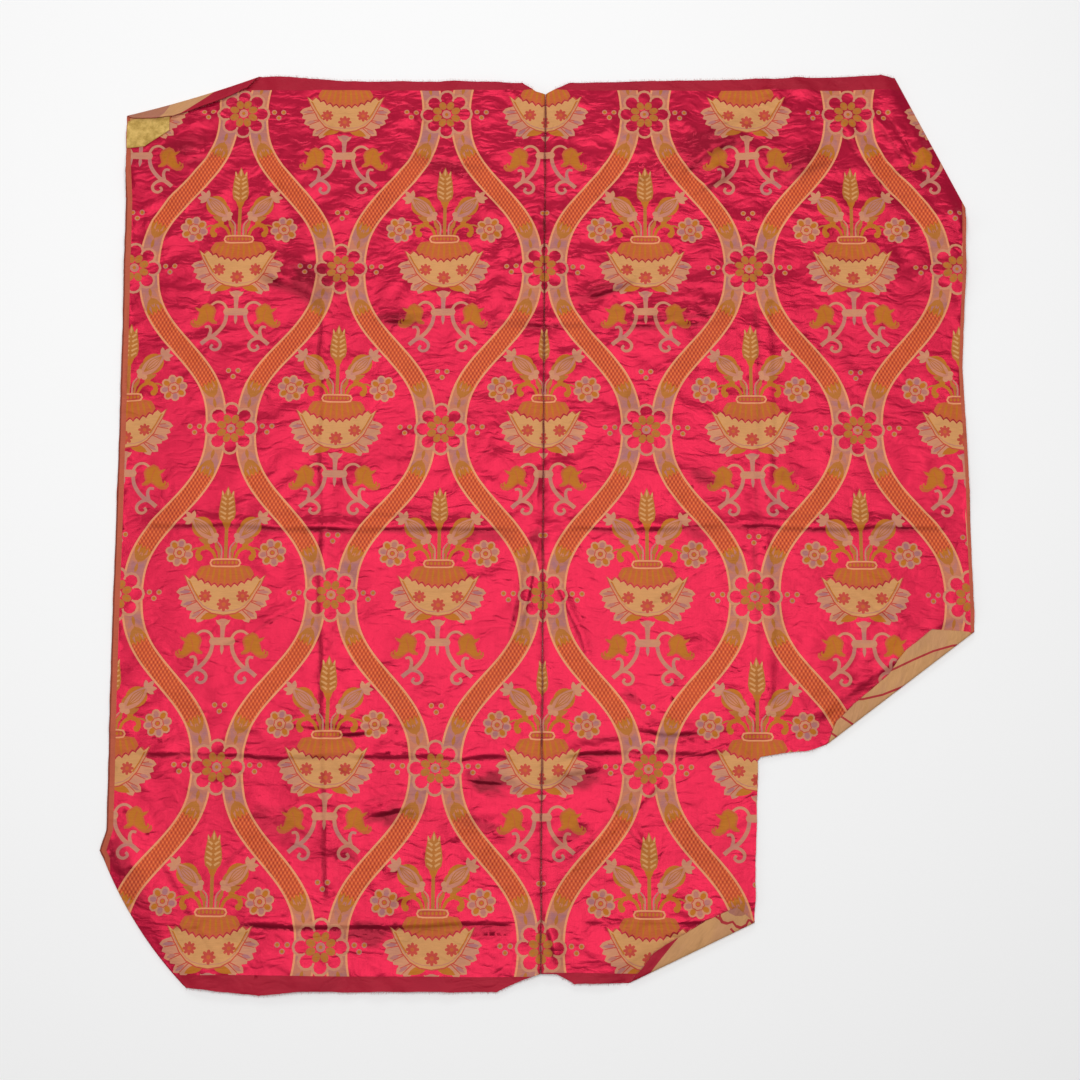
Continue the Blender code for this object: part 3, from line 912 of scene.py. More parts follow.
def fieldPoints(edge, facet):
    # an even spread of points, clear of the edge and of the folds
    low, high = edge.min(0), edge.max(0)
    rowStep = facet * 0.87        # for nearly even-sided triangles
    columns, rows = int((high[0] - low[0]) / facet) + 2, int((high[1] - low[1]) / rowStep) + 2
    i, j = np.meshgrid(np.arange(columns), np.arange(rows), indexing="ij")
    grid = np.column_stack([(low[0] + (i - 0.5 * (j % 2)) * facet).ravel(), (low[1] + j * rowStep).ravel()])
    grid = grid[insideOutline(grid, edge)]
    grid = grid[awayFrom(grid, edge) >= facet * 0.45]
    room, pastFold = 1.6, 20
    for fold in folds.values():
        s, w = foldTerms(fold, grid)
        r = fold["radius"]
        bent = (w > -r - room) & (w < math.pi * r - r + room)
        grid = grid[~(bent & (s > -pastFold) & (s < fold["length"] + pastFold))]
    return grid


def triangulate(edge, shapes, facet, base):
    # flat triangles that follow the outline, the folds and every motif, each with its yarn
    lines = [line for fold in folds.values() for line in foldLines(fold, 6, 4.0)]
    if base == "satin":
        lines += creaseLines()
    points = [tuple(p) for p in edge]
    edges = [(k, (k + 1) % len(edge)) for k in range(len(edge))]
    for run in insideRuns(lines, edge):
        first = len(points)
        points += [tuple(p) for p in run]
        edges += [(first + k, first + k + 1) for k in range(len(run) - 1)]
    for shape, _ in shapes:
        first, count = len(points), len(shape)
        points += [tuple(p) for p in shape]
        edges += [(first + k, first + (k + 1) % count) for k in range(count)]
    points += [tuple(p) for p in fieldPoints(edge, facet)]
    verts, _, found, _, _, _ = delaunay_2d_cdt([Vector(p) for p in points], edges, [], 0, 1e-4, False)
    flat = np.array([v[:] for v in verts], float)
    triangles = np.array([face[:] for face in found])
    centres = flat[triangles].mean(axis=1)
    triangles = triangles[insideOutline(centres, edge)]
    tints = tintOf(flat[triangles].mean(axis=1), shapes, base)
    used, flatIndex = np.unique(triangles, return_inverse=True)
    return flat[used], flatIndex.reshape(-1, 3), tints


def tintOf(centres, shapes, base):
    # the yarn of the topmost shape over each triangle's middle
    order = np.argsort(centres[:, 0])
    x, y = centres[order, 0], centres[order, 1]
    tints = np.full(len(centres), yarnNames.index(base))
    for shape, yarn in shapes:
        low, high = shape.min(0), shape.max(0)
        first, last = np.searchsorted(x, (low[0], high[0]))
        some = first + np.nonzero((y[first:last] > low[1]) & (y[first:last] < high[1]))[0]
        if not len(some):
            continue
        px, py = x[some], y[some]
        a, b = shape, np.roll(shape, -1, axis=0)
        a, b = a[a[:, 1] != b[:, 1]], b[a[:, 1] != b[:, 1]]
        slope = (b[:, 0] - a[:, 0]) / (b[:, 1] - a[:, 1])
        crosses = (a[:, 1:2] > py) != (b[:, 1:2] > py)
        over = crosses & (a[:, 0:1] + (py - a[:, 1:2]) * slope[:, None] > px)
        hit = over.sum(axis=0) % 2 == 1
        tints[order[some[hit]]] = yarnNames.index(yarn)
    return tints


def sidesOf(triangles):
    return np.vstack([triangles[:, [0, 1]], triangles[:, [1, 2]], triangles[:, [2, 0]]])


def boundaryOf(triangles, flat, corner):
    # the outer loop in order, starting at the point nearest the given corner
    known = set(map(tuple, sidesOf(triangles).tolist()))
    following = {a: b for a, b in known if (b, a) not in known}
    start = min(following, key=lambda v: np.hypot(*(flat[v] - corner)))
    loop = [start]
    while following[loop[-1]] != start:
        loop.append(following[loop[-1]])
    if len(loop) != len(following):
        raise RuntimeError("the cloth's outline is not one loop")
    length = np.concatenate([[0], np.cumsum(np.hypot(*(np.diff(flat[loop + [start]], axis=0)).T))])
    return loop, length


def stitchRim(front, frontLength, back, backLength):
    # triangles that close the edge between two loops of unlike points
    faces, i, j = [], 0, 0
    n, m = len(front), len(back)
    while i < n or j < m:
        if j >= m or (i < n and frontLength[i + 1] <= backLength[j + 1]):
            faces.append((front[(i + 1) % n], front[i], back[j % m]))
            i += 1
        else:
            faces.append((front[i % n], back[j], back[(j + 1) % m]))
            j += 1
    return faces


def backShare(flat, edge):
    # the coarser reverse stays lower inside the ridges, so it never shows through the face
    share = 1 - 0.5 * smoothStep((awayFrom(flat, edge[::3]) - 3) / 14)
    for fold in folds.values():
        s, w = foldTerms(fold, flat)
        hit = (w > -22) & (s > -fold["reach"]) & (s < fold["length"] + fold["reach"])
        share = np.where(hit, 1.0, share)
    return share


def buildWidth(name, side, materials):
    edge = cutOutline(side)
    low, high = edge.min(0), edge.max(0)
    shapes = figureShapes(low, high, side) + bandsOf(side)
    frontFlat, frontFaces, frontTints = triangulate(edge, shapes, panel["facet"], "satin")
    behind = reverseShapes(low, high, side) + bandsOf(side)
    backFlat, backFaces, backTints = triangulate(edge, behind, panel["backFacet"], "reverse")
    half = panel["thickness"] / 2
    frontPlace, frontNormal = sheetPlace(frontFlat)
    backPlace, backNormal = sheetPlace(backFlat, backShare(backFlat, edge))
    places = np.vstack([frontPlace + frontNormal * half, backPlace - backNormal * half])
    places[:, 2] = np.maximum(places[:, 2], 0.0)
    count = len(frontFlat)
    frontLoop, frontLength = boundaryOf(frontFaces, frontFlat, edge[0])
    backLoop, backLength = boundaryOf(backFaces, backFlat, edge[0])
    rim = np.array(stitchRim(frontLoop, frontLength, [v + count for v in backLoop], backLength))
    faces = np.vstack([frontFaces, backFaces[:, ::-1] + count, rim])
    tints = np.concatenate([frontTints, backTints, np.full(len(rim), yarnNames.index("band"))])
    slots = np.concatenate([np.zeros(len(frontFaces), int), np.ones(len(backFaces) + len(rim), int)])
    flat = np.vstack([frontFlat, backFlat])
    # painted shade on the face, none on the reverse
    shade = np.concatenate([paintedSilkShade(frontFlat), np.zeros(len(backFlat))])
    print(f"{name}: {len(frontFaces)} face, {len(backFaces)} reverse and {len(rim)} edge triangles")
    return {"name": name, "places": places, "faces": faces, "tints": tints, "slots": slots, "flat": flat,
            "shade": shade, "materials": materials, "rimFrom": len(faces) - len(rim), "edge": edge}


def sharpenRim(mesh, rim):
    rimPairs = set(map(tuple, np.sort(sidesOf(rim), axis=1).tolist()))
    ends = np.zeros(len(mesh.edges) * 2, int)
    mesh.edges.foreach_get("vertices", ends)
    ends = np.sort(ends.reshape(-1, 2), axis=1)
    mesh.edges.foreach_set("use_edge_sharp", [pair in rimPairs for pair in map(tuple, ends.tolist())])


def meshOf(data, shift):
    mesh = bpy.data.meshes.new(data["name"])
    places = (data["places"] + shift) * mm
    faces = data["faces"]
    mesh.vertices.add(len(places))
    mesh.vertices.foreach_set("co", places.ravel())
    mesh.loops.add(faces.size)
    mesh.loops.foreach_set("vertex_index", faces.ravel())
    mesh.polygons.add(len(faces))
    mesh.polygons.foreach_set("loop_start", np.arange(0, faces.size, 3))
    mesh.polygons.foreach_set("material_index", data["slots"])
    mesh.update(calc_edges=True)
    uv = mesh.uv_layers.new(name="flatCloth")
    uv.data.foreach_set("uv", (data["flat"][faces.ravel()] * mm).ravel())
    depth = [satinDepth + (dyeDepth - satinDepth) * yarn["figured"] for yarn in yarns.values()]
    colours = np.array([colourOf(yarn["colour"]) for yarn in yarns.values()])
    colours[:, :3] *= np.array(depth)[:, None]
    weaves = np.array([(y["figured"], y["combed"], y["mottled"], 1.0) for y in yarns.values()])
    for label, values in (("yarn", colours), ("weave", weaves)):
        layer = mesh.color_attributes.new(label, "FLOAT_COLOR", "CORNER")
        layer.data.foreach_set("color", np.repeat(values[data["tints"]], 3, axis=0).ravel())
    # the painted shade, which the silk material darkens its colour by
    mesh.attributes.new("shade", "FLOAT", "POINT").data.foreach_set("value", data["shade"])
    mesh.shade_smooth()
    sharpenRim(mesh, faces[data["rimFrom"]:])
    for material in data["materials"]:
        mesh.materials.append(material)
    mesh.validate()
    piece = bpy.data.objects.new(data["name"], mesh)
    collection.objects.link(piece)
    return piece


class Nodes:
    # a small helper that adds and joins shader nodes
    def __init__(self, name):
        self.material = bpy.data.materials.new(name)
        self.material.use_nodes = True
        self.tree = self.material.node_tree
        self.shader = self.tree.nodes["Principled BSDF"]
        self.column = -300

    def node(self, kind, **values):
        item = self.tree.nodes.new(kind)
        self.column -= 40
        item.location = (self.column, 0)
        for key, value in values.items():
            setattr(item, key, value)
        return item

    def join(self, source, target):
        self.tree.links.new(source, target)

    def fill(self, socket, value):
        if isinstance(value, bpy.types.NodeSocket):
            self.join(value, socket)
        else:
            socket.default_value = value

    def maths(self, operation, *values):
        item = self.node("ShaderNodeMath", operation=operation)
        for socket, value in zip(item.inputs, values):
            self.fill(socket, value)
        return item.outputs[0]

    def times(self, a, b):
        return self.maths("MULTIPLY", a, b)

    def plus(self, a, b):
        return self.maths("ADD", a, b)

    def ramp(self, value, low, high):
        item = self.node("ShaderNodeMapRange", interpolation_type="SMOOTHSTEP")
        self.fill(item.inputs[0], value)
        item.inputs[1].default_value = low
        item.inputs[2].default_value = high
        return item.outputs[0]

    def mix(self, factor, a, b, blend="MIX"):
        item = self.node("ShaderNodeMix", data_type="RGBA", blend_type=blend)
        self.fill(item.inputs["Factor"], factor)
        self.fill(item.inputs[6], a)
        self.fill(item.inputs[7], b)
        return item.outputs[2]

    def blend(self, factor, a, b):
        item = self.node("ShaderNodeMix", data_type="FLOAT")
        self.fill(item.inputs[0], factor)
        self.fill(item.inputs[2], a)
        self.fill(item.inputs[3], b)
        return item.outputs[0]

    def noise(self, vector, scale, detail=2.0, rough=0.5):
        item = self.node("ShaderNodeTexNoise")
        self.join(vector, item.inputs["Vector"])
        item.inputs["Scale"].default_value = scale
        item.inputs["Detail"].default_value = detail
        item.inputs["Roughness"].default_value = rough
        return item.outputs[0]

    def stretched(self, vector, scale, turn=0.0):
        item = self.node("ShaderNodeMapping")
        self.join(vector, item.inputs["Vector"])
        item.inputs["Rotation"].default_value = (0, 0, turn)
        item.inputs["Scale"].default_value = scale
        return item.outputs[0]

    def read(self, name, output):
        return self.node("ShaderNodeAttribute", attribute_name=name).outputs[output]

    def grey(self, value):
        item = self.node("ShaderNodeCombineColor")
        for socket in item.inputs:
            self.join(value, socket)
        return item.outputs[0]

    def toned(self, colour, value):
        return self.mix(1.0, colour, self.grey(value), "MULTIPLY")

    def flatCloth(self):
        # the cloth's own flat coordinates in millimetres, and their x and y
        uv = self.node("ShaderNodeUVMap", uv_map="flatCloth")
        flat = self.stretched(uv.outputs[0], (1000, 1000, 1))
        split = self.node("ShaderNodeSeparateXYZ")
        self.join(flat, split.inputs[0])
        return flat, split.outputs[0], split.outputs[1]

    def wave(self, value, period, phase=0.0):
        turned = self.maths("MULTIPLY_ADD", value, 2 * math.pi / period, phase)
        return self.maths("SINE", turned)

    def bump(self, height, strength, distance):
        # each new bump lies on the one before it
        item = self.node("ShaderNodeBump")
        self.join(height, item.inputs["Height"])
        item.inputs["Strength"].default_value = strength
        item.inputs["Distance"].default_value = distance
        normal = self.shader.inputs["Normal"]
        if normal.is_linked:
            self.join(normal.links[0].from_socket, item.inputs["Normal"])
        self.join(item.outputs[0], normal)


silk = {
    "satinRough": 0.34, "figureRough": 0.58,
    "satinMetal": 0.58, "figureMetal": 0.14,
    "shine": 0.30,
    "satinDim": 0.9, "figureDim": 0.38,            # how far the painted shade of creases and hollows darkens each
    # the colour that the painted shade multiplies in
    "deepShade": (0.30, 0.16, 0.24, 1),
    "sharpCreases": 0.10, "crumple": 0.0015,       # of the finest creases, too small for the mesh, in metres
    "combAcross": 5.0, "combDown": 8.0,
    "combDark": (150, 36, 22), "combLight": (238, 116, 56),
    "mauveShade": (164, 104, 118),
    "seamSoil": (112, 20, 28),
    "satinThread": 0.55, "twill": 1.5, "weft": 0.85,   # spacing in millimetres
    "threadDepth": 0.00012,                        # in metres
    # turn and scale of the finest creases, short and slanting
    "fine": ((0.42, (0.026, 0.064, 1)), (-0.65, (0.028, 0.058, 1)), (1.1, (0.030, 0.070, 1))),
}


def fineCreases(n, flat, y):
    # too small for the mesh, and a little deeper towards the top
    bent = n.node("ShaderNodeVectorMath", operation="ADD")
    n.join(flat, bent.inputs[0])
    drift = n.node("ShaderNodeTexNoise")
    n.join(flat, drift.inputs["Vector"])
    drift.inputs["Scale"].default_value = 0.02
    n.join(n.stretched(drift.outputs["Color"], (34, 34, 0)), bent.inputs[1])
    fine = None
    for turn, scale in silk["fine"]:
        ripple = n.noise(n.stretched(bent.outputs[0], scale, turn), 1.0, 1.5)
        sharp = n.ramp(n.maths("ABSOLUTE", n.maths("SUBTRACT", ripple, 0.5)), 0.0, 0.10)
        ripple = n.plus(ripple, n.times(sharp, silk["sharpCreases"]))
        fine = n.plus(fine, ripple) if fine else ripple
    return n.times(fine, n.blend(n.ramp(y, 180.0, 330.0), 0.75, 1.0))


def silkMaterial(name):
    n = Nodes(name)
    flat, x, y = n.flatCloth()
    weave = n.node("ShaderNodeSeparateColor")
    n.join(n.read("weave", "Color"), weave.inputs[0])
    figured, combed, mottled = weave.outputs[:3]
    # patches where the figuring weft changes from tan to mauve
    patch = n.ramp(n.noise(n.stretched(flat, (0.012, 0.03, 1)), 1.0, 3.0, 0.6), 0.42, 0.62)
    mauve = n.times(n.times(patch, mottled), 0.7)
    colour = n.mix(mauve, n.read("yarn", "Color"), colourOf(silk["mauveShade"]))
    # staggered dots of the coral ribbons
    dots = n.times(n.wave(x, silk["combAcross"], math.pi / 2), n.wave(y, silk["combDown"], math.pi / 2))
    rubbed = n.blend(n.noise(flat, 0.02, 2.0), 0.25, 1.15)
    dark = n.times(n.times(n.ramp(dots, -0.25, -0.70), combed), rubbed)
    colour = n.mix(dark, colour, colourOf(silk["combDark"]))
    colour = n.mix(n.times(n.ramp(dots, 0.25, 0.70), combed), colour, colourOf(silk["combLight"]))
    # threads: long up and down in the satin, side to side in the figure
    warp = n.noise(n.stretched(flat, (1.6, 0.03, 1)), 1.0, 2.0, 0.6)
    weft = n.noise(n.stretched(flat, (0.06, 1.4, 1)), 1.0, 2.0, 0.6)
    streak = n.blend(figured, warp, weft)
    colour = n.toned(colour, n.blend(figured, n.blend(streak, 0.90, 1.08), n.blend(streak, 0.78, 1.18)))
    # slow changes in the dye and in how worn the silk is
    colour = n.toned(colour, n.blend(n.noise(flat, 0.011, 4.0, 0.6), 0.82, 1.12))
    # painted shade: the foot of each crease and the hollows are painted darker, standing in for their shade
    dim = n.times(n.read("shade", "Fac"), n.blend(figured, silk["satinDim"], silk["figureDim"]))
    colour = n.mix(dim, colour, n.mix(1.0, colour, silk["deepShade"], "MULTIPLY"))
    # the seam has gathered dirt
    uneven = n.noise(n.stretched(flat, (0.3, 0.05, 1)), 1.0, 3.0, 0.6)
    soil = n.ramp(n.plus(n.maths("ABSOLUTE", x), n.blend(uneven, -3.4, 4.0)), 3.4, 0.0)
    colour = n.mix(n.times(soil, 0.9), colour, colourOf(silk["seamSoil"]))
    n.join(colour, n.shader.inputs["Base Color"])
    satinRough = n.blend(warp, silk["satinRough"] - 0.05, silk["satinRough"] + 0.07)
    n.join(n.blend(figured, satinRough, silk["figureRough"]), n.shader.inputs["Roughness"])
    n.join(n.blend(figured, silk["satinMetal"], silk["figureMetal"]), n.shader.inputs["Metallic"])
    n.shader.inputs["Specular IOR Level"].default_value = silk["shine"]
    n.bump(fineCreases(n, flat, y), 1.0, silk["crumple"])
    # and the threads on top of them
    satinRib = n.times(n.wave(x, silk["satinThread"]), 0.25)
    twill = n.wave(n.plus(x, n.times(y, 1.7)), silk["twill"])
    figureRib = n.plus(n.times(twill, 0.5), n.times(n.wave(y, silk["weft"]), 0.5))
    n.bump(n.plus(n.blend(figured, satinRib, figureRib), n.times(streak, 1.4)), 0.5, silk["threadDepth"])
    return n.material


patchCloth = {
    "corners": [(-560, 496), (-536, 498), (-504, 521), (-505, 545), (-545, 541), (-561, 535)],
    "thickness": 0.6, "lift": 0.25, "facet": 2.6, "thread": 0.9,
    "frayed": 0.35, "buckle": 0.5,
    "colour": (226, 188, 108), "shade": (176, 140, 66), "speck": (120, 84, 44),
}


def patchMaterial():
    n = Nodes("plainPatchLinen")
    flat, x, y = n.flatCloth()
    cloud = n.ramp(n.noise(flat, 0.07, 4.0, 0.65), 0.35, 0.68)
    colour = n.mix(cloud, colourOf(patchCloth["colour"]), colourOf(patchCloth["shade"]))
    specks = n.ramp(n.noise(n.stretched(flat, (0.55, 0.8, 1)), 1.0, 3.0, 0.7), 0.60, 0.70)
    colour = n.mix(n.times(specks, 0.7), colour, colourOf(patchCloth["speck"]))
    n.join(colour, n.shader.inputs["Base Color"])
    n.shader.inputs["Roughness"].default_value = 0.85
    n.shader.inputs["Specular IOR Level"].default_value = 0.2
    n.bump(n.times(n.wave(x, patchCloth["thread"]), n.wave(y, patchCloth["thread"])), 0.7, 0.00015)
    return n.material


looseEnds = {
    "perMillimetre": 1.15,
    "long": 3.4,            # longest loose end at a raw edge, mm
    "thick": 0.16,
    "lowest": 0.9,          # they start this high, so that none goes under the floor
    "upward": 0.15,         # and none points further down than this
    "shortest": 0.25,       # as a share of the longest
    "stray": 1.3,
    "seed": 8,
    "colour": (226, 120, 128),
}

# whip stitches along the seam
stitches = {
    "every": 3.4,
    "long": 2.2,
    "thick": 0.24,
    "proud": 0.1,
    "shortest": 0.8,
    "stray": 0.35,
    "seed": 3,
    "colour": (118, 22, 30),
}


def threadMaterial(name, rgb, rough):
    n = Nodes(name)
    flat = n.node("ShaderNodeTexCoord").outputs["Object"]
    vary = n.noise(flat, 220.0, 2.0)
    base = colourOf(rgb)
    darker = tuple(c * 0.6 for c in base[:3]) + (1.0,)
    n.join(n.mix(vary, darker, base), n.shader.inputs["Base Color"])
    n.shader.inputs["Roughness"].default_value = rough
    return n.material


def threadTree(name, material, values):
    tree = bpy.data.node_groups.new(name, "GeometryNodeTree")
    face = tree.interface
    face.new_socket("Geometry", in_out="INPUT", socket_type="NodeSocketGeometry")
    for label, value in values.items():
        kind = "NodeSocketInt" if label == "Seed" else "NodeSocketFloat"
        face.new_socket(label, in_out="INPUT", socket_type=kind).default_value = value
    face.new_socket("Geometry", in_out="OUTPUT", socket_type="NodeSocketGeometry")

    def put(kind, sockets, **settings):
        node = tree.nodes.new(kind)
        for key, value in settings.items():
            setattr(node, key, value)
        for key, value in sockets.items():
            if isinstance(value, bpy.types.NodeSocket):
                tree.links.new(value, node.inputs[key])
            else:
                node.inputs[key].default_value = value
        return node.outputs[0] if node.outputs else None

    given = tree.nodes.new("NodeGroupInput").outputs
    # one bent strand along +Y, a unit long
    bend = {"Start": (0, -0.25, 0), "Middle": (0.12, 0.4, 0.10), "End": (-0.10, 1.0, 0.02)}
    strand = put("GeometryNodeCurveQuadraticBezier", {"Resolution": 3, **bend})
    radius = put("ShaderNodeMath", {0: given["Thick"], 1: given["Long"]}, operation="DIVIDE")
    profile = put("GeometryNodeCurvePrimitiveCircle", {"Resolution": 4, "Radius": radius})
    skin = put("GeometryNodeCurveToMesh", {"Fill Caps": True, "Curve": strand, "Profile Curve": profile})
    # each strand points outwards, a little astray
    outward = put("GeometryNodeInputNamedAttribute", {"Name": "outward"}, data_type="FLOAT_VECTOR")
    stray = put("FunctionNodeRandomValue", {"Seed": given["Seed"]}, data_type="FLOAT_VECTOR")
    centred = put("ShaderNodeVectorMath", {0: stray, 1: (0.5, 0.5, 0.35)}, operation="SUBTRACT")
    spread = put("ShaderNodeVectorMath", {0: centred, "Scale": given["Stray"]}, operation="SCALE")
    aim = put("ShaderNodeVectorMath", {0: outward, 1: spread}, operation="ADD")
    turn = put("FunctionNodeAlignRotationToVector", {"Vector": aim}, axis="Y")
    size = tree.nodes.new("FunctionNodeRandomValue")
    size.data_type = "FLOAT"
    tree.links.new(given["Shortest"], size.inputs[2])
    size.inputs[3].default_value = 1.0
    tree.links.new(given["Seed"], size.inputs["Seed"])
    long = put("ShaderNodeMath", {0: size.outputs[1], 1: given["Long"]}, operation="MULTIPLY")
    placed = put("GeometryNodeInstanceOnPoints",
                 {"Points": given["Geometry"], "Instance": skin, "Rotation": turn, "Scale": long})
    real = put("GeometryNodeRealizeInstances", {0: placed})
    finished = put("GeometryNodeSetMaterial", {0: real, "Material": material})
    put("NodeGroupOutput", {0: finished})
    for k, node in enumerate(tree.nodes):
        node.location = (180 * (k % 8), -220 * (k // 8))
    return tree


def grownPiece(name, points, outward, tree, values, material):
    # a plain mesh from the tree, grown on points that each know which way is out of the cloth
    seedMesh = bpy.data.meshes.new(name + "Points")
    seedMesh.from_pydata([tuple(p) for p in points], [], [])
    layer = seedMesh.attributes.new("outward", "FLOAT_VECTOR", "POINT")
    layer.data.foreach_set("vector", np.asarray(outward, float).ravel())
    holder = bpy.data.objects.new(name + "Points", seedMesh)
    collection.objects.link(holder)
    modifier = holder.modifiers.new("grow", "NODES")
    modifier.node_group = tree
    for item in tree.interface.items_tree:
        if item.in_out == "INPUT" and item.name in values:
            modifier[item.identifier] = values[item.name]
    bpy.context.view_layer.update()
    evaluated = holder.evaluated_get(bpy.context.evaluated_depsgraph_get())
    mesh = bpy.data.meshes.new_from_object(evaluated)
    holder.modifiers.clear()
    bpy.data.objects.remove(holder)
    mesh.name = name
    if not mesh.materials:
        mesh.materials.append(material)
    for polygon in mesh.polygons:
        polygon.use_smooth = True
    piece = bpy.data.objects.new(name, mesh)
    collection.objects.link(piece)
    return piece


def rawEdgePoints(edge, side):
    # points along the raw ends of one width, with the way out of the cloth
    rng = np.random.RandomState(looseEnds["seed"] + side)
    following = np.roll(edge, -1, axis=0)
    run = following - edge
    length = np.hypot(*run.T)
    out = np.column_stack([run[:, 1], -run[:, 0]]) / length[:, None]
    rows, ways = [], []
    for a, b, way, span in zip(edge, following, out, length):
        if abs(way[1]) < 0.75 or abs(a[0]) < 14:      # along the warp, or beside the seam
            continue
        for t in rng.rand(int(span * looseEnds["perMillimetre"] + rng.rand())):
            rows.append(a + (b - a) * t)
            ways.append(way)
    return np.array(rows), np.array(ways)


print("stage: the two loom widths")
silkFront = silkMaterial("figuredSilkFace")
silkBack = silkMaterial("figuredSilkReverse")
left = buildWidth("leftWidth", -1, [silkFront, silkBack])
right = buildWidth("rightWidth", 1, [silkFront, silkBack])
allPlaces = np.vstack([left["places"], right["places"]])
cadLow, cadHigh = (np.array(corner) / mm for corner in cadBounds)
shift = (cadLow + cadHigh) / 2 - (allPlaces.min(0) + allPlaces.max(0)) / 2
shift[2] = 0

leftWidth, rightWidth = meshOf(left, shift), meshOf(right, shift)


def makePatch():
    spec = patchCloth
    corners = np.array(spec["corners"], float)
    edge = []
    for a, b in zip(corners, np.roll(corners, -1, axis=0)):
        count = int(np.hypot(*(b - a)) / spec["facet"]) + 1
        edge += [a + (b - a) * k / count for k in range(count)]
    edge = np.array(edge) + spec["frayed"] * np.random.RandomState(4).rand(len(edge), 2)
    low, high = edge.min(0), edge.max(0)
    x, y = np.meshgrid(np.arange(low[0], high[0], spec["facet"]), np.arange(low[1], high[1], spec["facet"]))
    grid = np.column_stack([x.ravel(), y.ravel()])
    grid = grid[insideOutline(grid, edge)]
    grid = grid[awayFrom(grid, edge) >= spec["facet"] * 0.5]
    points = [Vector(p) for p in np.vstack([edge, grid])]
    verts, _, faces, _, _, _ = delaunay_2d_cdt(points, [], [list(range(len(edge)))], 1, 1e-4, True)
    flat, faces = np.array([v[:] for v in verts]), np.array([list(f) for f in faces])
    height = silkHeight(flat) + panel["thickness"] + spec["lift"]
    height += spec["buckle"] * (0.5 + 0.5 * noise(flat[:, 0], flat[:, 1], 14, 11, 9))
    count = len(flat)
    top = np.column_stack([flat, height + spec["thickness"]])
    under = np.column_stack([flat, height])
    loop, _ = boundaryOf(faces, flat, edge[0])
    rim = []
    for a, b in zip(loop, loop[1:] + loop[:1]):
        rim += [(b, a, a + count), (b, a + count, b + count)]
    allFaces = np.vstack([faces, faces[:, ::-1] + count, np.array(rim)])
    return meshOf({"name": "cornerPatch", "places": np.vstack([top, under]), "faces": allFaces,
                   "tints": np.zeros(len(allFaces), int), "slots": np.zeros(len(allFaces), int),
                   "flat": np.vstack([flat, flat]), "shade": np.zeros(2 * count),
                   "materials": [patchMaterial()], "rimFrom": 2 * len(faces)}, shift)


print("stage: corner patch")
cornerPatch = makePatch()


def threadValues(spec):
    return {"Long": spec["long"] * mm, "Shortest": spec["shortest"], "Thick": spec["thick"] * mm / 2,
            "Stray": spec["stray"], "Seed": spec["seed"]}


print("stage: loose ends and seam stitches")
frayMaterial = threadMaterial("looseSilkEnds", looseEnds["colour"], 0.7)
stitchMaterial = threadMaterial("seamThread", stitches["colour"], 0.75)
frayValues, stitchValues = threadValues(looseEnds), threadValues(stitches)
frayTree = threadTree("looseEnds", frayMaterial, frayValues)
stitchTree = threadTree("seamStitches", stitchMaterial, stitchValues)

frays = []
for data, side, name in ((left, -1, "leftLooseEnds"), (right, 1, "rightLooseEnds")):
    flat, ways = rawEdgePoints(data["edge"], side)
    place, _ = sheetPlace(flat)
    behind, _ = sheetPlace(flat - ways * 0.5)
    way = place - behind
    way /= np.linalg.norm(way, axis=1)[:, None]
    way[:, 2] = np.maximum(way[:, 2], looseEnds["upward"])
    place[:, 2] = np.maximum(place[:, 2], looseEnds["lowest"])
    frays.append(grownPiece(name, (place + shift) * mm, way, frayTree, frayValues, frayMaterial))

seamY = np.arange(outline["seamFoot"][1] + 4, outline["seamTop"][1] - 3, stitches["every"])
seamPlace, _ = sheetPlace(np.column_stack([np.full(len(seamY), -1.0), seamY]))
seamPlace[:, 2] += panel["thickness"] / 2 + stitches["proud"]
seamWays = np.tile([1.0, 0.35, 0.0], (len(seamY), 1))
seamStitches = grownPiece("seamStitches", (seamPlace + shift) * mm, seamWays, stitchTree, stitchValues,
                          stitchMaterial)

view = {
    "place": (0.0256, -0.5017, 2.2503),
    "turn": (11.70, 0.651, 0.204),     # degrees about X, Y and Z
    "lens": 60.0,
    "sensor": 36.0,
}


def makeCamera():
    data = bpy.data.cameras.new("camera")
    data.lens = view["lens"]
    data.sensor_width = view["sensor"]
    data.clip_start, data.clip_end = 0.05, 50
    item = bpy.data.objects.new("camera", data)
    turn = Matrix.Identity(3)
    for degrees, axis in zip(view["turn"], "XYZ"):
        turn = turn @ Matrix.Rotation(math.radians(degrees), 3, axis)
    item.matrix_world = Matrix.Translation(view["place"]) @ turn.to_4x4()
    collection.objects.link(item)
    scene.camera = item


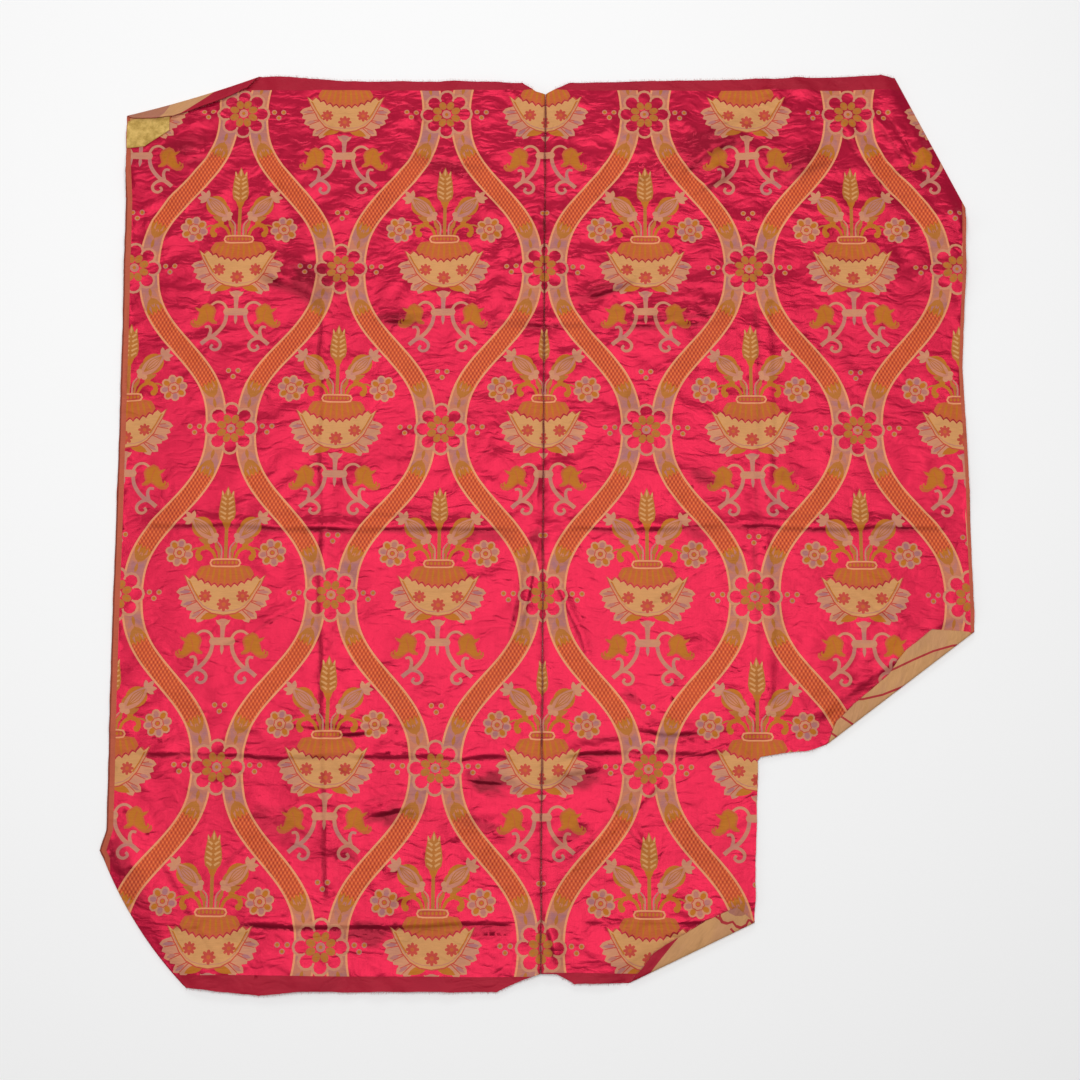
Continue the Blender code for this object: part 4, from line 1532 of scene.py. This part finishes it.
studio = {
    "floorSize": 14.0,
    "floorColour": (0.96, 0.96, 0.96, 1.0),
    "world": 0.22,
    # name: place, aimed at, size in metres, watts
    "lights": {
        "mainSoftbox": {"place": (0.0, 0.20, 2.9), "aim": (0.0, 0.20, 0.0), "size": (2.9, 2.6), "watts": 70},
        "topSoftbox": {"place": (-0.4, 3.3, 1.5), "aim": (0.0, 0.0, 0.0), "size": (1.8, 0.8), "watts": 24},
        "leftSoftbox": {"place": (-3.4, -0.2, 1.2), "aim": (0.0, 0.0, 0.0), "size": (0.8, 1.6), "watts": 14},
    },
}


def makeStudio():
    half = studio["floorSize"] / 2
    mesh = bpy.data.meshes.new("floor")
    corners = [(-half, -half, 0), (half, -half, 0), (half, half, 0), (-half, half, 0)]
    mesh.from_pydata(corners, [], [(0, 1, 2, 3)])
    floor = bpy.data.objects.new("floor", mesh)
    collection.objects.link(floor)
    n = Nodes("paleFloor")
    n.shader.inputs["Base Color"].default_value = studio["floorColour"]
    n.shader.inputs["Roughness"].default_value = 0.95
    n.shader.inputs["Specular IOR Level"].default_value = 0.1
    mesh.materials.append(n.material)
    for name, spec in studio["lights"].items():
        data = bpy.data.lights.new(name, "AREA")
        data.shape = "RECTANGLE"
        data.size, data.size_y = spec["size"]
        data.energy = spec["watts"]
        item = bpy.data.objects.new(name, data)
        item.location = spec["place"]
        aim = Vector(spec["aim"]) - Vector(spec["place"])
        item.rotation_euler = aim.to_track_quat("-Z", "Y").to_euler()
        collection.objects.link(item)
    world = bpy.data.worlds.new("studio")
    world.use_nodes = True
    sky = world.node_tree.nodes["Background"]
    sky.inputs["Color"].default_value = (1, 1, 1, 1)
    sky.inputs["Strength"].default_value = studio["world"]
    scene.world = world
    scene.view_settings.view_transform = "Standard"
    scene.view_settings.look = "None"


print("stage: camera, floor and light")
makeCamera()
makeStudio()


for piece, node, slotName in ((leftWidth, "left_width", "figured_silk"),
                              (rightWidth, "right_width", "figured_silk"),
                              (cornerPatch, "corner_patch", "plain_patch")):
    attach(piece, "root")
    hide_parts(node)
for piece in frays + [seamStitches]:
    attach(piece, "root")
